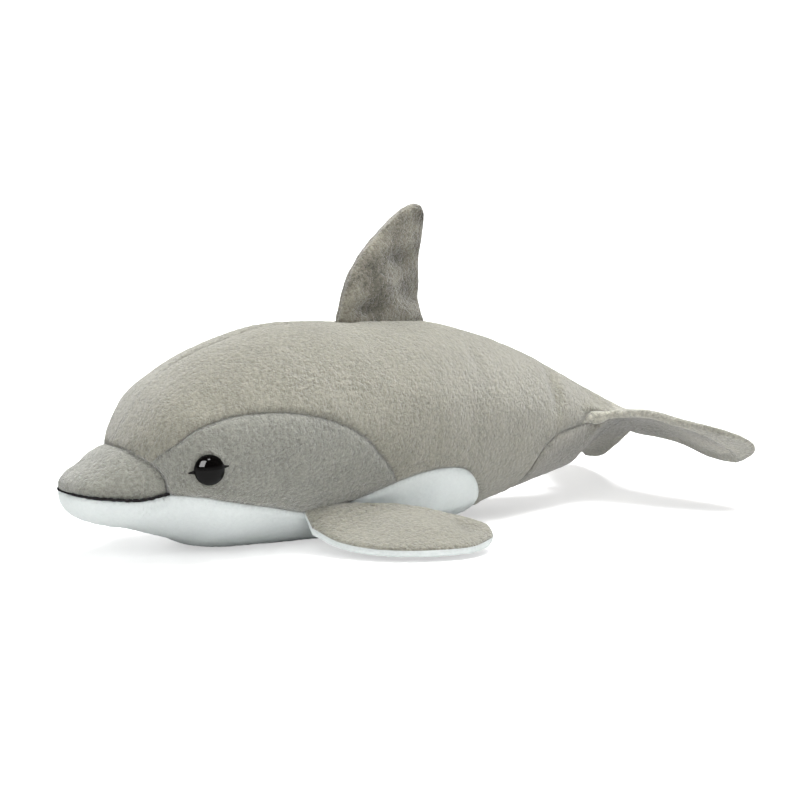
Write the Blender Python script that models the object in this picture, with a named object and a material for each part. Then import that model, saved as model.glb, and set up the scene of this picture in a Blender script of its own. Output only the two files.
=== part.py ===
"""Plush dolphin lying on its belly.

The skin is sewn from separate fabric panels round one mass of fibre. All of it follows one surface, skin(),
whose points are named by the distance behind the beak tip and by an angle round the body: 0 under the belly,
90 on the left side, 180 on the back and -90 on the right side. A panel is an outline in those two numbers.

Frame: X to the dolphin's left, -Y ahead of the beak, Z up, the floor at Z = 0. Sizes are in millimetres and
angles in degrees until an object is made.
"""

import math

import bmesh
import bpy
import numpy as np
from mathutils import Matrix, Vector
from mathutils.geometry import delaunay_2d_cdt

METRE = 0.001

# Fabric and fits
FABRIC = 1.6
SEAM_GAP = 0.4
CLEARANCE = 0.3
EDGE_CORE = 0.3
TIP_LENGTH = 7.5
TIP_INSET_FADE = 20.0
POLE_LENGTH = 3.0

# Leading edge of the tail lobes, as (half width, distance behind the beak tip)
LOBE_EDGE = [(0, 250), (19, 250.5), (29, 256), (42, 261.5), (53, 266), (62.5, 270.5), (66.5, 274.5)]

# Body profiles, as (distance behind the beak tip, height or half width)
CENTRE_HEIGHT = [(0, 27.8), (12, 26.2), (22, 25.5), (33, 27.2), (60, 34), (90, 40), (130, 41.5), (165, 40),
                 (200, 37.5), (242, 34.5), (258, 35), (267, 33.5), (275, 29), (282, 24.5)]
BEAK_TOP = [(0, 34.4), (6, 35.8), (11, 38.2), (16, 42), (24.5, 44.8), (38, 48)]
HEAD_TOP = [(20, 52), (26, 58), (32, 63.2), (38, 67.8), (45, 72.2), (53, 76), (64, 79.8), (75, 82.9), (91, 85.4), (109, 85.8),
            (127, 85.2), (150, 84.2), (168, 82), (188, 76.4), (208, 69), (229, 59), (248, 49.2), (258, 43.8),
            (267, 38.6), (275, 32), (282, 26.2)]
BOTTOM = [(0, 18), (6, 16.8), (11, 14.8), (16, 13.2), (22, 12), (32, 9), (43, 5.6), (53, 1.8), (64, 0.1),
          (80, -0.9), (110, -2), (150, -2), (170, -0.6), (188, 4.2), (203, 8.0), (215, 10.6), (228, 13), (241, 16),
          (250, 20.5), (258, 25), (267, 28.4), (275, 26), (282, 22.8)]
BEAK_HALF_WIDTH = [(0, 12.6), (6, 14), (13, 16.8), (22, 20.4), (38, 24)]
HEAD_HALF_WIDTH = [(20, 27), (28, 29.6), (38, 31.8), (50, 34), (70, 36.8), (90, 38.6), (125, 39.4), (150, 38),
                   (170, 34.6), (190, 29.6), (214, 23), (232, 18), (242, 15.4), (250, 19),
                   *[(s, x) for x, s in LOBE_EDGE[2:]], (278, 68.5), (280.5, 67.5), (282, 63)]
SKIN_END = 282.0
UPPER_FULLNESS = [(0, 2.15), (20, 2.2), (32, 2.35), (50, 2.12), (90, 2.03), (282, 2.1)]
LOWER_FULLNESS = 2.35
FLUKE_FULLNESS = 3.2

# Tail fluke
FLUKE_START = 236.0
FLUKE_BLEND = 16.0
LOBE_HALF_THICKNESS = 3.0
STOCK_CORE = 9.5
SWEEP_LENGTH = 26.0
SWEEP = 0.2
LOBE_ROOT = 9.0
LOBE_TWIST = [(0, 0), (0.25, 5.5), (0.5, 9.5), (0.75, 8), (1, 1)]
LOBE_SPAN = 60.0
LEFT_LOBE_LIFT = [(0, 0), (0.22, 3.8), (0.4, 4.8), (0.72, 2.6), (1, 1.6)]
RIGHT_LOBE_LIFT = [(0, 0), (0.5, -7), (1, -14)]

# Seams, as (distance behind the beak tip, angle)
MOUTH_CORNER = (33.0, 90.0)
BEAK_SEAM_TOP = (20.8, 180.0)
CHEEK_FRONT = (28.4, 125.0)
CHEEK_REAR = (129.6, 69.6)
BELLY_END = (181.5, 0.0)
GUSSET_TIP = (202.0, 0.0)
TAIL_SIDE = (238.0, 90.0)
TAIL_TOP = (260.0, 180.0)
BEAK_SIDE_SEAM = [CHEEK_FRONT, (31.6, 108), MOUTH_CORNER]
BEAK_ARCH_SEAM = [BEAK_SEAM_TOP, (21.8, 163), (24.6, 143), CHEEK_FRONT]
CHEEK_SEAM = [CHEEK_FRONT, (31.5, 123), (36, 120.5), (45, 121), (57, 120), (71, 116.2), (89, 109), (106, 100),
              (118.5, 88), (126.5, 77.5), CHEEK_REAR]
BELLY_SEAM_FRONT = [MOUTH_CORNER, (44, 83), (55, 75.5), (70, 66.5), (87, 57), (96, 56), (106, 59), (120, 65.4),
                    CHEEK_REAR]
BELLY_SEAM_REAR = [CHEEK_REAR, (140, 73), (153, 75), (164, 73), (171, 66), (176, 54), (179.5, 38), (181, 18), BELLY_END]
GUSSET_SEAM = [GUSSET_TIP, (203, 20), (206, 42), (208.5, 58), (212, 71), (218, 81), (227, 88), TAIL_SIDE]
TAIL_SEAM = [TAIL_SIDE, (241, 101), (246.5, 118), (252.5, 140), (257.5, 164), TAIL_TOP]
SEAM_STEP = 6.5
DEGREE_LENGTH = 0.5

# Melon: how fast the forehead swells behind the beak seam
MELON_LENGTH = 16.0
THROAT_SPREAD = 0.45

# Dorsal fin, as (distance behind the beak tip, height above the back) from root to tip
FIN_FRONT_EDGE = [(123.5, 0), (127.5, 15), (134.5, 27), (145, 38), (155.5, 45.4), (161, 48)]
FIN_REAR_EDGE = [(166, 0), (163.6, 9), (163.4, 23), (164.8, 36), (165.4, 43), (164, 47.6)]
FIN_HALF_THICKNESS = [(0, 6.2), (0.35, 4.6), (0.8, 3.0), (1, 2.6)]

# Left flipper edges from root to tip, as (X, distance behind the beak tip, height)
FLIPPER_FRONT_EDGE = [(39, 91, 9.6), (52, 95.5, 5.6), (66, 104, 3.8), (76.5, 118, 3.6), (80.5, 134, 3.7), (77, 149, 4.6)]
FLIPPER_REAR_EDGE = [(40, 115, 16), (40, 125, 15), (44, 135, 13.6), (53, 145, 11), (61, 152, 9), (68, 155, 7)]
FLIPPER_ROOT = (100.5, 57.5)
FLIPPER_ROOT_HALF_CHORD = 10.5
FLIPPER_ROOT_HALF_ANGLE = 4.6
FLIPPER_HALF_THICKNESS = [(0, 3.4), (0.5, 3.4), (1, 2.6)]
FLIPPER_ROOT_SHARE = 0.16

# Eyes
EYE_PLACE = (45.8, 98.0)
EYE_RADIUS = 6.0
EYE_HEIGHT = 4.0
EYE_SEAT = 0.6
STEM_RADIUS = 2.0
STEM_LENGTH = 9.0
HOLE_PLAY = 0.3
WASHER_RADIUS = 6.5
WASHER_THICKNESS = 1.4
WASHER_DEPTH = 3.2
EYE_LINE_LENGTH = 16.0
EYE_LINE_HALF_HEIGHT = 2.6
EYE_LINE_THICKNESS = 0.6
EYE_LINE_TILT = -9.0

# Filling
FILLING_START = 5.0
FILLING_SLIM = 37.0
FILLING_FULL = 60.0
FACET_ROOM = 0.7
FACE_ROOM = 2.0
LIMB_ROOM = 0.5

# Mouth thread and label
THREAD_RADIUS = 0.6
LIP_OPENING = 1.5
THREAD_IN = 8.0
THREAD_OUT = 18.0
LABEL_WIDTH = 9.0
LABEL_LENGTH = 17.0
LABEL_THICKNESS = 0.6
LABEL_TOP = (-19.0, 248.0, 28.2)
LABEL_TURN = 50.0
LABEL_LEAN = 14.0


def smooth_curve(points):
    """A function that passes smoothly through (place, value) points without overshooting them."""
    x, y = np.array(points, float).T
    h = np.diff(x)
    slope = np.diff(y) / h
    tangent = np.concatenate([slope[:1], np.zeros(len(x) - 2), slope[-1:]])
    before, after = 2 * h[1:] + h[:-1], h[1:] + 2 * h[:-1]
    for i in np.nonzero(slope[:-1] * slope[1:] > 0)[0]:
        tangent[i + 1] = (before[i] + after[i]) / (before[i] / slope[i] + after[i] / slope[i + 1])

    def value(at):
        at = np.clip(np.asarray(at, float), x[0], x[-1])
        i = np.clip(np.searchsorted(x, at, side="right") - 1, 0, len(h) - 1)
        t = (at - x[i]) / h[i]
        left = y[i] * (1 + 2 * t) + h[i] * tangent[i] * t
        right = y[i + 1] * (3 - 2 * t) - h[i] * tangent[i + 1] * (1 - t)
        return left * (1 - t) ** 2 + right * t * t

    return value


def smooth_step(value, start, end):
    t = np.clip((value - start) / (end - start), 0, 1)
    return t * t * (3 - 2 * t)


centre_height = smooth_curve(CENTRE_HEIGHT)
beak_top = smooth_curve(BEAK_TOP)
head_top = smooth_curve(HEAD_TOP)
bottom = smooth_curve(BOTTOM)
beak_half_width = smooth_curve(BEAK_HALF_WIDTH)
head_half_width = smooth_curve(HEAD_HALF_WIDTH)
upper_fullness = smooth_curve(UPPER_FULLNESS)
left_lift = smooth_curve(LEFT_LOBE_LIFT)
lobe_twist = smooth_curve(LOBE_TWIST)
lobe_edge = smooth_curve(LOBE_EDGE)
right_lift = smooth_curve(RIGHT_LOBE_LIFT)
beak_seam_place = smooth_curve([(a, s) for s, a in (BEAK_ARCH_SEAM[:-1] + BEAK_SIDE_SEAM)[::-1]])


def melon_share(s, fold):
    """0 on the beak and 1 on the head: the forehead swells steeply behind the beak seam, the throat gently."""
    below = np.clip(90 - fold, 0, 90)
    q = np.clip((s - beak_seam_place(np.maximum(fold, 90)) + THROAT_SPREAD * below / 2)
                / (MELON_LENGTH + THROAT_SPREAD * below), 0, 1)
    steep = (1 - (1 - q) ** 2) ** 0.62
    gentle = q * q * (3 - 2 * q)
    return steep + (gentle - steep) * np.clip(below / 40, 0, 1)


def skin(s, angle, inset=0.0):
    """Points of the skin, or of the surface that lies inset millimetres inside it."""
    s, angle = np.broadcast_arrays(np.asarray(s, float), np.asarray(angle, float))
    fold = np.abs((angle + 180) % 360 - 180)
    upper = fold > 90
    turn = np.radians(angle)
    inside = s + inset * np.clip(1 - s / TIP_INSET_FADE, 0, 1)
    tip = np.sqrt(1 - (1 - np.clip(inside / TIP_LENGTH, 0, 1)) ** 2)
    pole = np.sqrt(np.clip(s / POLE_LENGTH, 0, 1)) if inset else 1.0
    share = melon_share(inside, fold)
    centre = centre_height(inside)
    half_width = tip * (beak_half_width(inside) + share * (head_half_width(inside) - beak_half_width(inside)))
    top = beak_top(inside) + share * (head_top(inside) - beak_top(inside))
    half_height = tip * np.where(upper, top - centre, centre - bottom(inside))
    fluke = smooth_step(inside, FLUKE_START, FLUKE_START + FLUKE_BLEND)
    fullness = np.where(upper, upper_fullness(inside), LOWER_FULLNESS) * (1 - fluke) + FLUKE_FULLNESS * fluke
    x = np.sign(np.sin(turn)) * np.abs(np.sin(turn)) ** (2 / fullness) * (half_width - inset) * pole
    lobe = np.minimum(half_height, LOBE_HALF_THICKNESS)
    flat = lobe + (half_height - lobe) * np.exp(-((x / STOCK_CORE) ** 2))
    half_height = half_height + fluke * (flat - half_height)
    half_height = np.maximum(half_height - inset, EDGE_CORE + 0.2 * inset) * pole if inset else half_height
    rise = np.abs(np.cos(turn)) ** (2 / fullness) * half_height
    out = np.clip((np.abs(x) - LOBE_ROOT) / LOBE_SPAN, 0, 1)
    lift = fluke * np.where(x > 0, left_lift(out), right_lift(out))
    lead = lobe_edge(np.abs(x))
    twist = lobe_twist(out) * np.clip((inside - lead) / (SKIN_END - lead), 0, 1)
    z = centre + np.where(upper, rise, -rise) + lift - fluke * twist
    y = inside + SWEEP * np.abs(x) * smooth_step(inside, SKIN_END - SWEEP_LENGTH, SKIN_END)
    return np.stack([x, y, np.maximum(z, inset)], -1)


def total_length():
    """From the beak tip to the hindmost point of the fluke."""
    return float(skin(np.full(91, SKIN_END), np.linspace(0, 90, 91))[:, 1].max())


HALF_LENGTH = total_length() / 2


def world(points):
    """Millimetres behind the beak tip to metres in the row frame."""
    return (np.asarray(points, float) - (0, HALF_LENGTH, 0)) * METRE


def skin_normal(s, angle):
    d = 0.5
    along = skin(s + d, angle) - skin(s - d, angle)
    around = skin(s, angle + d) - skin(s, angle - d)
    normal = np.cross(along, around)
    return normal / np.linalg.norm(normal, axis=-1, keepdims=True)


def seam(points, step=SEAM_STEP):
    """Evenly spaced points of the smooth line through the given ones."""
    p = np.array(points, float) * (1, DEGREE_LENGTH)
    padded = np.vstack([2 * p[0] - p[1], p, 2 * p[-1] - p[-2]])
    t = np.linspace(0, 1, 13)[:-1, None]
    fine = np.vstack([
        0.5 * (2 * b + (c - a) * t + (2 * a - 5 * b + 4 * c - d) * t ** 2 + (3 * b - a - 3 * c + d) * t ** 3)
        for a, b, c, d in zip(padded, padded[1:], padded[2:], padded[3:])] + [p[-1:]])
    run = np.concatenate([[0], np.cumsum(np.linalg.norm(np.diff(fine, axis=0), axis=1))])
    count = max(2, round(run[-1] / step) + 1)
    at = np.linspace(0, run[-1], count)
    return [(np.interp(a, run, fine[:, 0]), np.interp(a, run, fine[:, 1]) / DEGREE_LENGTH) for a in at]


def spread(start, end, step):
    """Evenly spaced places from start to end, about a step apart."""
    return np.linspace(start, end, max(2, round((end - start) / step) + 1))


def mirrored(points):
    """The same line on the right side, run the other way."""
    return [(s, -a) for s, a in points[::-1]]


def over_back(points):
    """The same line on the right side, counted on past 180 degrees, run the other way."""
    return [(s, 360 - a) for s, a in points[::-1]]


def material(name, colour, roughness):
    made = bpy.data.materials.new(name)
    made.use_nodes = True
    shader = made.node_tree.nodes["Principled BSDF"]
    shader.inputs["Base Color"].default_value = (*colour, 1)
    shader.inputs["Roughness"].default_value = roughness
    shader.inputs["Metallic"].default_value = 0
    return made


def add_object(name, mesh_work, finish, sharp=40):
    bmesh.ops.recalc_face_normals(mesh_work, faces=mesh_work.faces)
    mesh = bpy.data.meshes.new(name)
    mesh_work.to_mesh(mesh)
    mesh_work.free()
    mesh.materials.append(finish)
    mesh.shade_smooth()
    mesh.set_sharp_from_angle(angle=math.radians(sharp))
    made = bpy.data.objects.new(name, mesh)
    bpy.context.scene.collection.objects.link(made)
    return made


def drawn_in(outline, scale, gap):
    """The outline moved inwards by half a seam's gap. Points at distance 0, the beak tip, stay there."""
    p = np.array(outline, float) * scale
    ahead, behind = np.roll(p, -1, 0) - p, p - np.roll(p, 1, 0)
    ahead /= np.linalg.norm(ahead, axis=1, keepdims=True)
    behind /= np.linalg.norm(behind, axis=1, keepdims=True)
    area = np.sum(p[:, 0] * np.roll(p[:, 1], -1) - np.roll(p[:, 0], -1) * p[:, 1])
    inward = np.sign(area) * np.stack([-(ahead + behind)[:, 1], (ahead + behind)[:, 0]], 1)
    inward /= np.maximum(np.linalg.norm(inward, axis=1, keepdims=True), 0.3)
    moved = p + inward * gap / 2
    moved[p[:, 0] == 0, 0] = 0
    return moved


def inside_with_room(point, ring, room):
    a, b = ring, np.roll(ring, -1, 0)
    edge = b - a
    t = np.clip(((point - a) * edge).sum(1) / np.maximum((edge ** 2).sum(1), 1e-12), 0, 1)
    if np.linalg.norm(a + edge * t[:, None] - point, axis=1).min() < room:
        return False
    spans = (a[:, 1] > point[1]) != (b[:, 1] > point[1])
    crossing = a[:, 0] + (point[1] - a[:, 1]) * edge[:, 0] / np.where(edge[:, 1] == 0, 1, edge[:, 1])
    return bool((spans & (point[0] < crossing)).sum() % 2)


def shell(name, outline, surface, columns, rows, finish, scale=(1, DEGREE_LENGTH), gap=SEAM_GAP, room=2.2,
          shift=None):
    """A piece of fabric: an outline in a surface's two numbers, meshed over its columns and rows, FABRIC thick."""
    ring = drawn_in(outline, scale, gap)
    corners = [(c * scale[0], r * scale[1]) for c in columns for r in rows]
    corners = [c for c in corners if inside_with_room(np.array(c), ring, room)]
    points, _, faces, *_ = delaunay_2d_cdt([Vector(p) for p in [*ring, *corners]], [],
                                           [list(range(len(ring)))], 1, 1e-5)
    flat = np.array(points)[:, :2] / scale
    work = bmesh.new()
    layers = []
    for inset in (0.0, FABRIC):
        made = surface(flat[:, 0], flat[:, 1], inset)
        made = made if shift is None else made + shift(flat[:, 0])[:, None] * (0, 0, 1)
        layers.append([work.verts.new(p) for p in world(made)])
    edges = {}
    for a, b, c in faces:
        work.faces.new([layers[0][i] for i in (a, b, c)])
        work.faces.new([layers[1][i] for i in (c, b, a)])
        for edge in ((a, b), (b, c), (c, a)):
            if edge[::-1] in edges:
                del edges[edge[::-1]]
            else:
                edges[edge] = True
    for a, b in edges:
        work.faces.new([layers[0][b], layers[0][a], layers[1][a], layers[1][b]])
    bmesh.ops.remove_doubles(work, verts=work.verts, dist=2e-6)
    bmesh.ops.triangulate(work, faces=work.faces)
    return add_object(name, work, finish)


def loft(name, rings, finish):
    """A closed solid through rings of points, with a pointed or flat cap at each end."""
    work = bmesh.new()
    made = [[work.verts.new(p) for p in world(ring)] for ring in rings]
    for one, two in zip(made, made[1:]):
        for i in range(len(one)):
            j = (i + 1) % len(one)
            work.faces.new([one[i], one[j], two[j], two[i]])
    for end in (made[0], made[-1]):
        middle = work.verts.new(sum((v.co for v in end), Vector()) / len(end))
        for i in range(len(end)):
            work.faces.new([end[i], end[(i + 1) % len(end)], middle])
    return add_object(name, work, finish)


def turned(name, profile, frame, finish, segments=24):
    """A round piece: (radius, height) points from one end of the axis to the other, or a closed ring's section."""
    work = bmesh.new()
    line = [work.verts.new((r * METRE, 0, h * METRE)) for r, h in profile]
    edges = [work.edges.new(pair) for pair in zip(line, line[1:])]
    if profile[0][0] > 0:
        edges.append(work.edges.new((line[-1], line[0])))
    bmesh.ops.spin(work, geom=line + edges, axis=(0, 0, 1), cent=(0, 0, 0), steps=segments, angle=math.tau,
                   use_merge=True)
    bmesh.ops.remove_doubles(work, verts=work.verts, dist=2e-6)
    made = add_object(name, work, finish)
    made.matrix_world = frame
    return made


def skin_frame(s, angle, tilt=0.0):
    """A frame on the skin: its Z points out of the body, its X back along it."""
    out = Vector(skin_normal(s, angle))
    back = Vector((0, 1, 0))
    back = (back - out * back.dot(out)).normalized()
    made = Matrix((back, out.cross(back), out)).transposed().to_4x4()
    made.translation = Vector(world(skin(s, angle)))
    return made @ Matrix.Rotation(math.radians(tilt), 4, "Z")


def cutter(made):
    made.hide_render = True
    made.display_type = "WIRE"
    return made


def cut(target, tool):
    change = target.modifiers.new("cut", "BOOLEAN")
    change.operation = "DIFFERENCE"
    change.object = tool
    return change


def body_panels(grey, cheek_grey, white):
    tip, beak_end, neck = POLE_LENGTH, BEAK_SEAM_TOP[0], EYE_PLACE[0]
    columns = [0.4 * tip, 1.2 * tip, 2.3 * tip, *spread(4 * tip, beak_end, 5), *spread(beak_end, neck, 3.2)[1:],
               *spread(neck, FLUKE_START, 9)[1:], *spread(FLUKE_START, SKIN_END - FABRIC, 5.5)[1:-1]]
    rows = list(range(0, 361, 15))
    rows += [-r for r in rows[1:]]
    mouth = [(0, 90), (tip / 2, 90), (1.4 * tip, 90)] + seam([(0, 90), (beak_end, 90), MOUTH_CORNER])[1:]
    side, arch = seam(BEAK_SIDE_SEAM), seam(BEAK_ARCH_SEAM, 4)
    cheek, belly_front = seam(CHEEK_SEAM), seam(BELLY_SEAM_FRONT)
    belly_rear, gusset, tail = seam(BELLY_SEAM_REAR), seam(GUSSET_SEAM), seam(TAIL_SEAM, 4)
    back_line = seam([BEAK_SEAM_TOP, TAIL_TOP], 9)
    under_line = seam([BELLY_END, GUSSET_TIP], 8)
    edge = seam([TAIL_SIDE, (SKIN_END, 90)], 4)
    trailing = seam([(SKIN_END, 90), (SKIN_END, 130), (SKIN_END, 180)], 5)
    trailing_under = [(s, 180 - a) for s, a in trailing]

    def parted(s):
        return SEAM_GAP / 2 * smooth_step(s, FLUKE_START, FLUKE_START + FLUKE_BLEND)

    def lip(s):
        return LIP_OPENING / 2 * (1 - smooth_step(s, THREAD_OUT, MOUTH_CORNER[0]))

    half = mouth + side[::-1][1:] + arch[::-1][1:]
    shell("beak_top", half + over_back(side[::-1][1:] + arch[::-1][1:])[1:] + over_back(mouth)[1:-1]
          + [(0, 270)], skin, columns, rows, cheek_grey, shift=lip)
    lower = belly_front[1:] + belly_rear[1:]
    shell("belly_panel", mouth + lower + mirrored(mouth + lower)[1:], skin, columns, rows, white,
          shift=lambda s: -lip(s))
    cheek_outline = cheek + belly_front[::-1][1:] + side[::-1][1:-1]
    back_outline = arch + cheek[1:] + belly_rear[1:] + under_line[1:] + gusset[1:] + tail[1:] + back_line[::-1][1:-1]
    for name, outline, finish in (("cheek", cheek_outline, cheek_grey), ("back", back_outline, grey)):
        shell(name + "_panel_left", outline, skin, columns, rows, finish)
        shell(name + "_panel_right", mirrored(outline), skin, columns, rows, finish)
    upper_half = tail[::-1] + edge[1:] + trailing[1:]
    shell("fluke_top", upper_half + over_back(upper_half)[1:-1], skin, columns, rows, grey, room=1.6,
          shift=parted)
    under_half = gusset + edge[1:] + trailing_under[1:]
    shell("fluke_underside", under_half + mirrored(under_half)[1:-1], skin, columns, rows, grey, room=1.6,
          shift=lambda s: -parted(s))


def body_filling(finish):
    tail = TAIL_SIDE[0]
    stations = np.array([*spread(FILLING_START, FILLING_SLIM, 4.6), *spread(FILLING_SLIM, FILLING_FULL, 8)[1:],
                         *spread(FILLING_FULL, tail, 13)[1:], tail + 5])
    angles = np.arange(0, 360, 18.0)
    depth = FABRIC + CLEARANCE + FACET_ROOM + FACE_ROOM * (1 - smooth_step(stations, FILLING_SLIM, FILLING_FULL))
    return loft("body_filling", [skin(s, angles, d) for s, d in zip(stations, depth)], finish)


def fin_surface(v, turn, inset=0.0):
    """Dorsal fin: v runs from root (0) to tip (1), turn from the front edge (0) over the left face to the rear edge
    (180)."""
    v, turn = np.broadcast_arrays(np.asarray(v, float), np.asarray(turn, float))
    ends = []
    for edge in (FIN_FRONT_EDGE, FIN_REAR_EDGE):
        place = np.linspace(0, 1, len(edge))
        ends.append([smooth_curve([(t, p[k]) for t, p in zip(place, edge)])(v) for k in (0, 1)])
    middle = [(a + b) / 2 for a, b in zip(*ends)]
    half = [(b - a) / 2 for a, b in zip(*ends)]
    chord = np.hypot(*half)
    shrink = np.maximum(1 - inset / np.maximum(chord, 1e-6), 0.2)
    thick = np.maximum(smooth_curve(FIN_HALF_THICKNESS)(v) - inset, EDGE_CORE)
    a = np.radians(turn)
    x = np.sign(np.sin(a)) * np.abs(np.sin(a)) ** 0.8 * thick
    s = middle[0] - half[0] * np.cos(a) * shrink
    rise = middle[1] - half[1] * np.cos(a) * shrink - inset * smooth_step(v, 0.6, 1)
    ground = skin(s, 180 - np.degrees(np.arcsin(np.clip(x / head_half_width(s), -1, 1))))[..., 2]
    return np.stack([x, s, ground + CLEARANCE + np.maximum(rise, 0)], -1)


def dorsal_fin(grey, fibre):
    columns = np.linspace(0, 1, 7)
    rows = np.arange(0, 181, 30)
    front = [(v, 0.0) for v in np.linspace(0, 1, 9)]
    tip = [(1.0, a) for a in (60.0, 120.0)]
    outline = front + tip + [(v, 180.0) for v, _ in front[::-1]] + [(0.0, a) for a in (150.0, 120.0, 90.0, 60.0, 30.0)]
    scale = (48, 0.12)
    shell("dorsal_fin_left", outline, fin_surface, columns, rows, grey, scale, room=1.5)
    shell("dorsal_fin_right", mirrored(outline), fin_surface, columns, -rows, grey, scale, room=1.5)
    around = np.arange(0, 360, 30.0)
    depth = FABRIC + CLEARANCE + LIMB_ROOM
    loft("dorsal_fin_filling", [fin_surface(v, around, depth) for v in (0.05, 0.15, 0.3, 0.5, 0.7, 0.82)], fibre)


def flipper_surface(u, turn, inset=0.0, side=1):
    """Flipper: u runs from root (0) to tip (1), turn from the front edge (0) over the top to the rear edge (180) and
    back underneath (-180)."""
    u, turn = np.broadcast_arrays(np.asarray(u, float), np.asarray(turn, float))
    a = np.radians(turn)
    free = np.clip((u - FLIPPER_ROOT_SHARE) / (1 - FLIPPER_ROOT_SHARE), 0, 1)
    ends = []
    for edge in (FLIPPER_FRONT_EDGE, FLIPPER_REAR_EDGE):
        place = np.linspace(0, 1, len(edge))
        ends.append(np.stack([smooth_curve([(t, p[k]) for t, p in zip(place, edge)])(free) for k in range(3)], -1))
    half = (ends[1] - ends[0]) / 2
    chord = np.linalg.norm(half, axis=-1)
    shrink = np.maximum(1 - inset / chord, 0.2)[..., None]
    thick = np.maximum(smooth_curve(FLIPPER_HALF_THICKNESS)(free) - inset, EDGE_CORE)
    middle = (ends[0] + ends[1]) / 2
    rise = np.sign(np.sin(a)) * np.abs(np.sin(a)) ** 0.5 * thick
    wing = middle - half * np.cos(a)[..., None] * shrink + rise[..., None] * (0, 0, 1)
    root_s, root_angle = FLIPPER_ROOT
    s = root_s - (FLIPPER_ROOT_HALF_CHORD - inset) * np.cos(a)
    angle = root_angle + (FLIPPER_ROOT_HALF_ANGLE - inset * 1.4) * np.sin(a)
    root = skin(s, angle) + skin_normal(s, angle) * CLEARANCE * 1.3
    share = smooth_step(u, 0, FLIPPER_ROOT_SHARE)[..., None]
    return (root + share * (wing - root)) * (side, 1, 1)


def flipper(side, word, grey, white, fibre):
    columns = [0.08, 0.16, 0.28, 0.42, 0.56, 0.7, 0.84, 0.93]
    rows = np.arange(0, 181, 30)
    edge = [(u, 0.0) for u in (0, 0.08, 0.16, 0.28, 0.42, 0.56, 0.7, 0.85, 1)]
    tip = [(1.0, a) for a in (45.0, 90.0, 135.0)]
    root = [(0.0, a) for a in (150.0, 120.0, 90.0, 60.0, 30.0)]
    outline = edge + tip + [(u, 180.0) for u, _ in edge[::-1]] + root
    scale = (75, 0.16)

    def surface(u, turn, inset=0.0):
        return flipper_surface(u, turn, inset, side)

    shell(f"flipper_top_{word}", outline, surface, columns, rows, grey, scale, room=1.8)
    shell(f"flipper_underside_{word}", mirrored(outline), surface, columns, -rows, white, scale, room=1.8)
    around = np.arange(0, 360, 30.0)
    depth = FABRIC + CLEARANCE + LIMB_ROOM
    loft(f"flipper_filling_{word}", [surface(u, around, depth) for u in (0.1, 0.16, 0.28, 0.42, 0.6, 0.8, 0.92)], fibre)


def eye(side, word, glossy, thread, plastic, filling):
    place = (EYE_PLACE[0], EYE_PLACE[1] * side)
    frame = skin_frame(*place, tilt=EYE_LINE_TILT * side)
    lift = EYE_LINE_THICKNESS + 2 * CLEARANCE
    dome = [(EYE_RADIUS * math.cos(t), lift + EYE_SEAT + (EYE_HEIGHT - EYE_SEAT) * math.sin(t))
            for t in np.radians(np.arange(0, 90, 15))]
    turned(f"eye_{word}", [(0, -STEM_LENGTH), (STEM_RADIUS * 0.7, -STEM_LENGTH), (STEM_RADIUS, 1 - STEM_LENGTH),
                           (STEM_RADIUS, lift), (EYE_RADIUS, lift), *dome, (0, lift + EYE_HEIGHT)], frame, glossy)
    washer_top = -WASHER_DEPTH
    washer_low = washer_top - WASHER_THICKNESS
    bore = STEM_RADIUS + HOLE_PLAY
    turned(f"eye_washer_{word}", [(bore, washer_top), (WASHER_RADIUS, washer_top), (WASHER_RADIUS, washer_low),
                                  (bore, washer_low)], frame, plastic)
    stem_hole = cutter(turned(f"stem_hole_{word}", [(0, -6), (bore, -6), (bore, 4), (0, 4)], frame, plastic, 16))
    cut(bpy.data.objects[f"cheek_panel_{word}"], stem_hole)
    room = WASHER_RADIUS + HOLE_PLAY
    low = washer_low - CLEARANCE
    pocket = cutter(turned(f"pocket_{word}", [(0, -STEM_LENGTH - 1), (bore, -STEM_LENGTH - 1), (bore, low),
                                              (room, low), (room, 4), (0, 4)], frame, plastic, 20))
    cut(filling, pocket)
    eye_line(f"eye_line_{word}", frame, bore, thread)


def eye_line(name, frame, bore, finish):
    """The pointed almond of stitches behind the eye: it follows the cheek and the stem passes through it."""
    half = EYE_LINE_LENGTH / 2
    across = np.linspace(-half, half, 17)
    height = EYE_LINE_HALF_HEIGHT * np.clip(1 - (np.abs(across) / half) ** 1.7, 0, 1) + 0.12
    work = bmesh.new()
    sides = [[(x, h) for x, h in zip(across, height)], [(x, -h) for x, h in zip(across, height)]]
    layers = []
    for level in (CLEARANCE, CLEARANCE + EYE_LINE_THICKNESS):
        layers.append([[work.verts.new((x * METRE, y * METRE, (level - x * x / 75 + 0.05) * METRE)) for x, y in line]
                       for line in sides])
    for (low_a, low_b), (high_a, high_b) in zip(zip(layers[0][0], layers[0][0][1:]),
                                                zip(layers[1][0], layers[1][0][1:])):
        work.faces.new([low_a, low_b, high_b, high_a])
    for (low_a, low_b), (high_a, high_b) in zip(zip(layers[0][1], layers[0][1][1:]),
                                                zip(layers[1][1], layers[1][1][1:])):
        work.faces.new([low_a, high_a, high_b, low_b])
    for layer in layers:
        for i in range(len(across) - 1):
            work.faces.new([layer[0][i], layer[0][i + 1], layer[1][i + 1], layer[1][i]])
    for i in (0, -1):
        work.faces.new([layers[0][0][i], layers[1][0][i], layers[1][1][i], layers[0][1][i]])
    made = add_object(name, work, finish)
    made.matrix_world = frame
    hole = cutter(turned(name + "_hole", [(0, -3), (bore, -3), (bore, 6), (0, 6)], frame, finish, 16))
    cut(made, hole)
    return made


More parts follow.
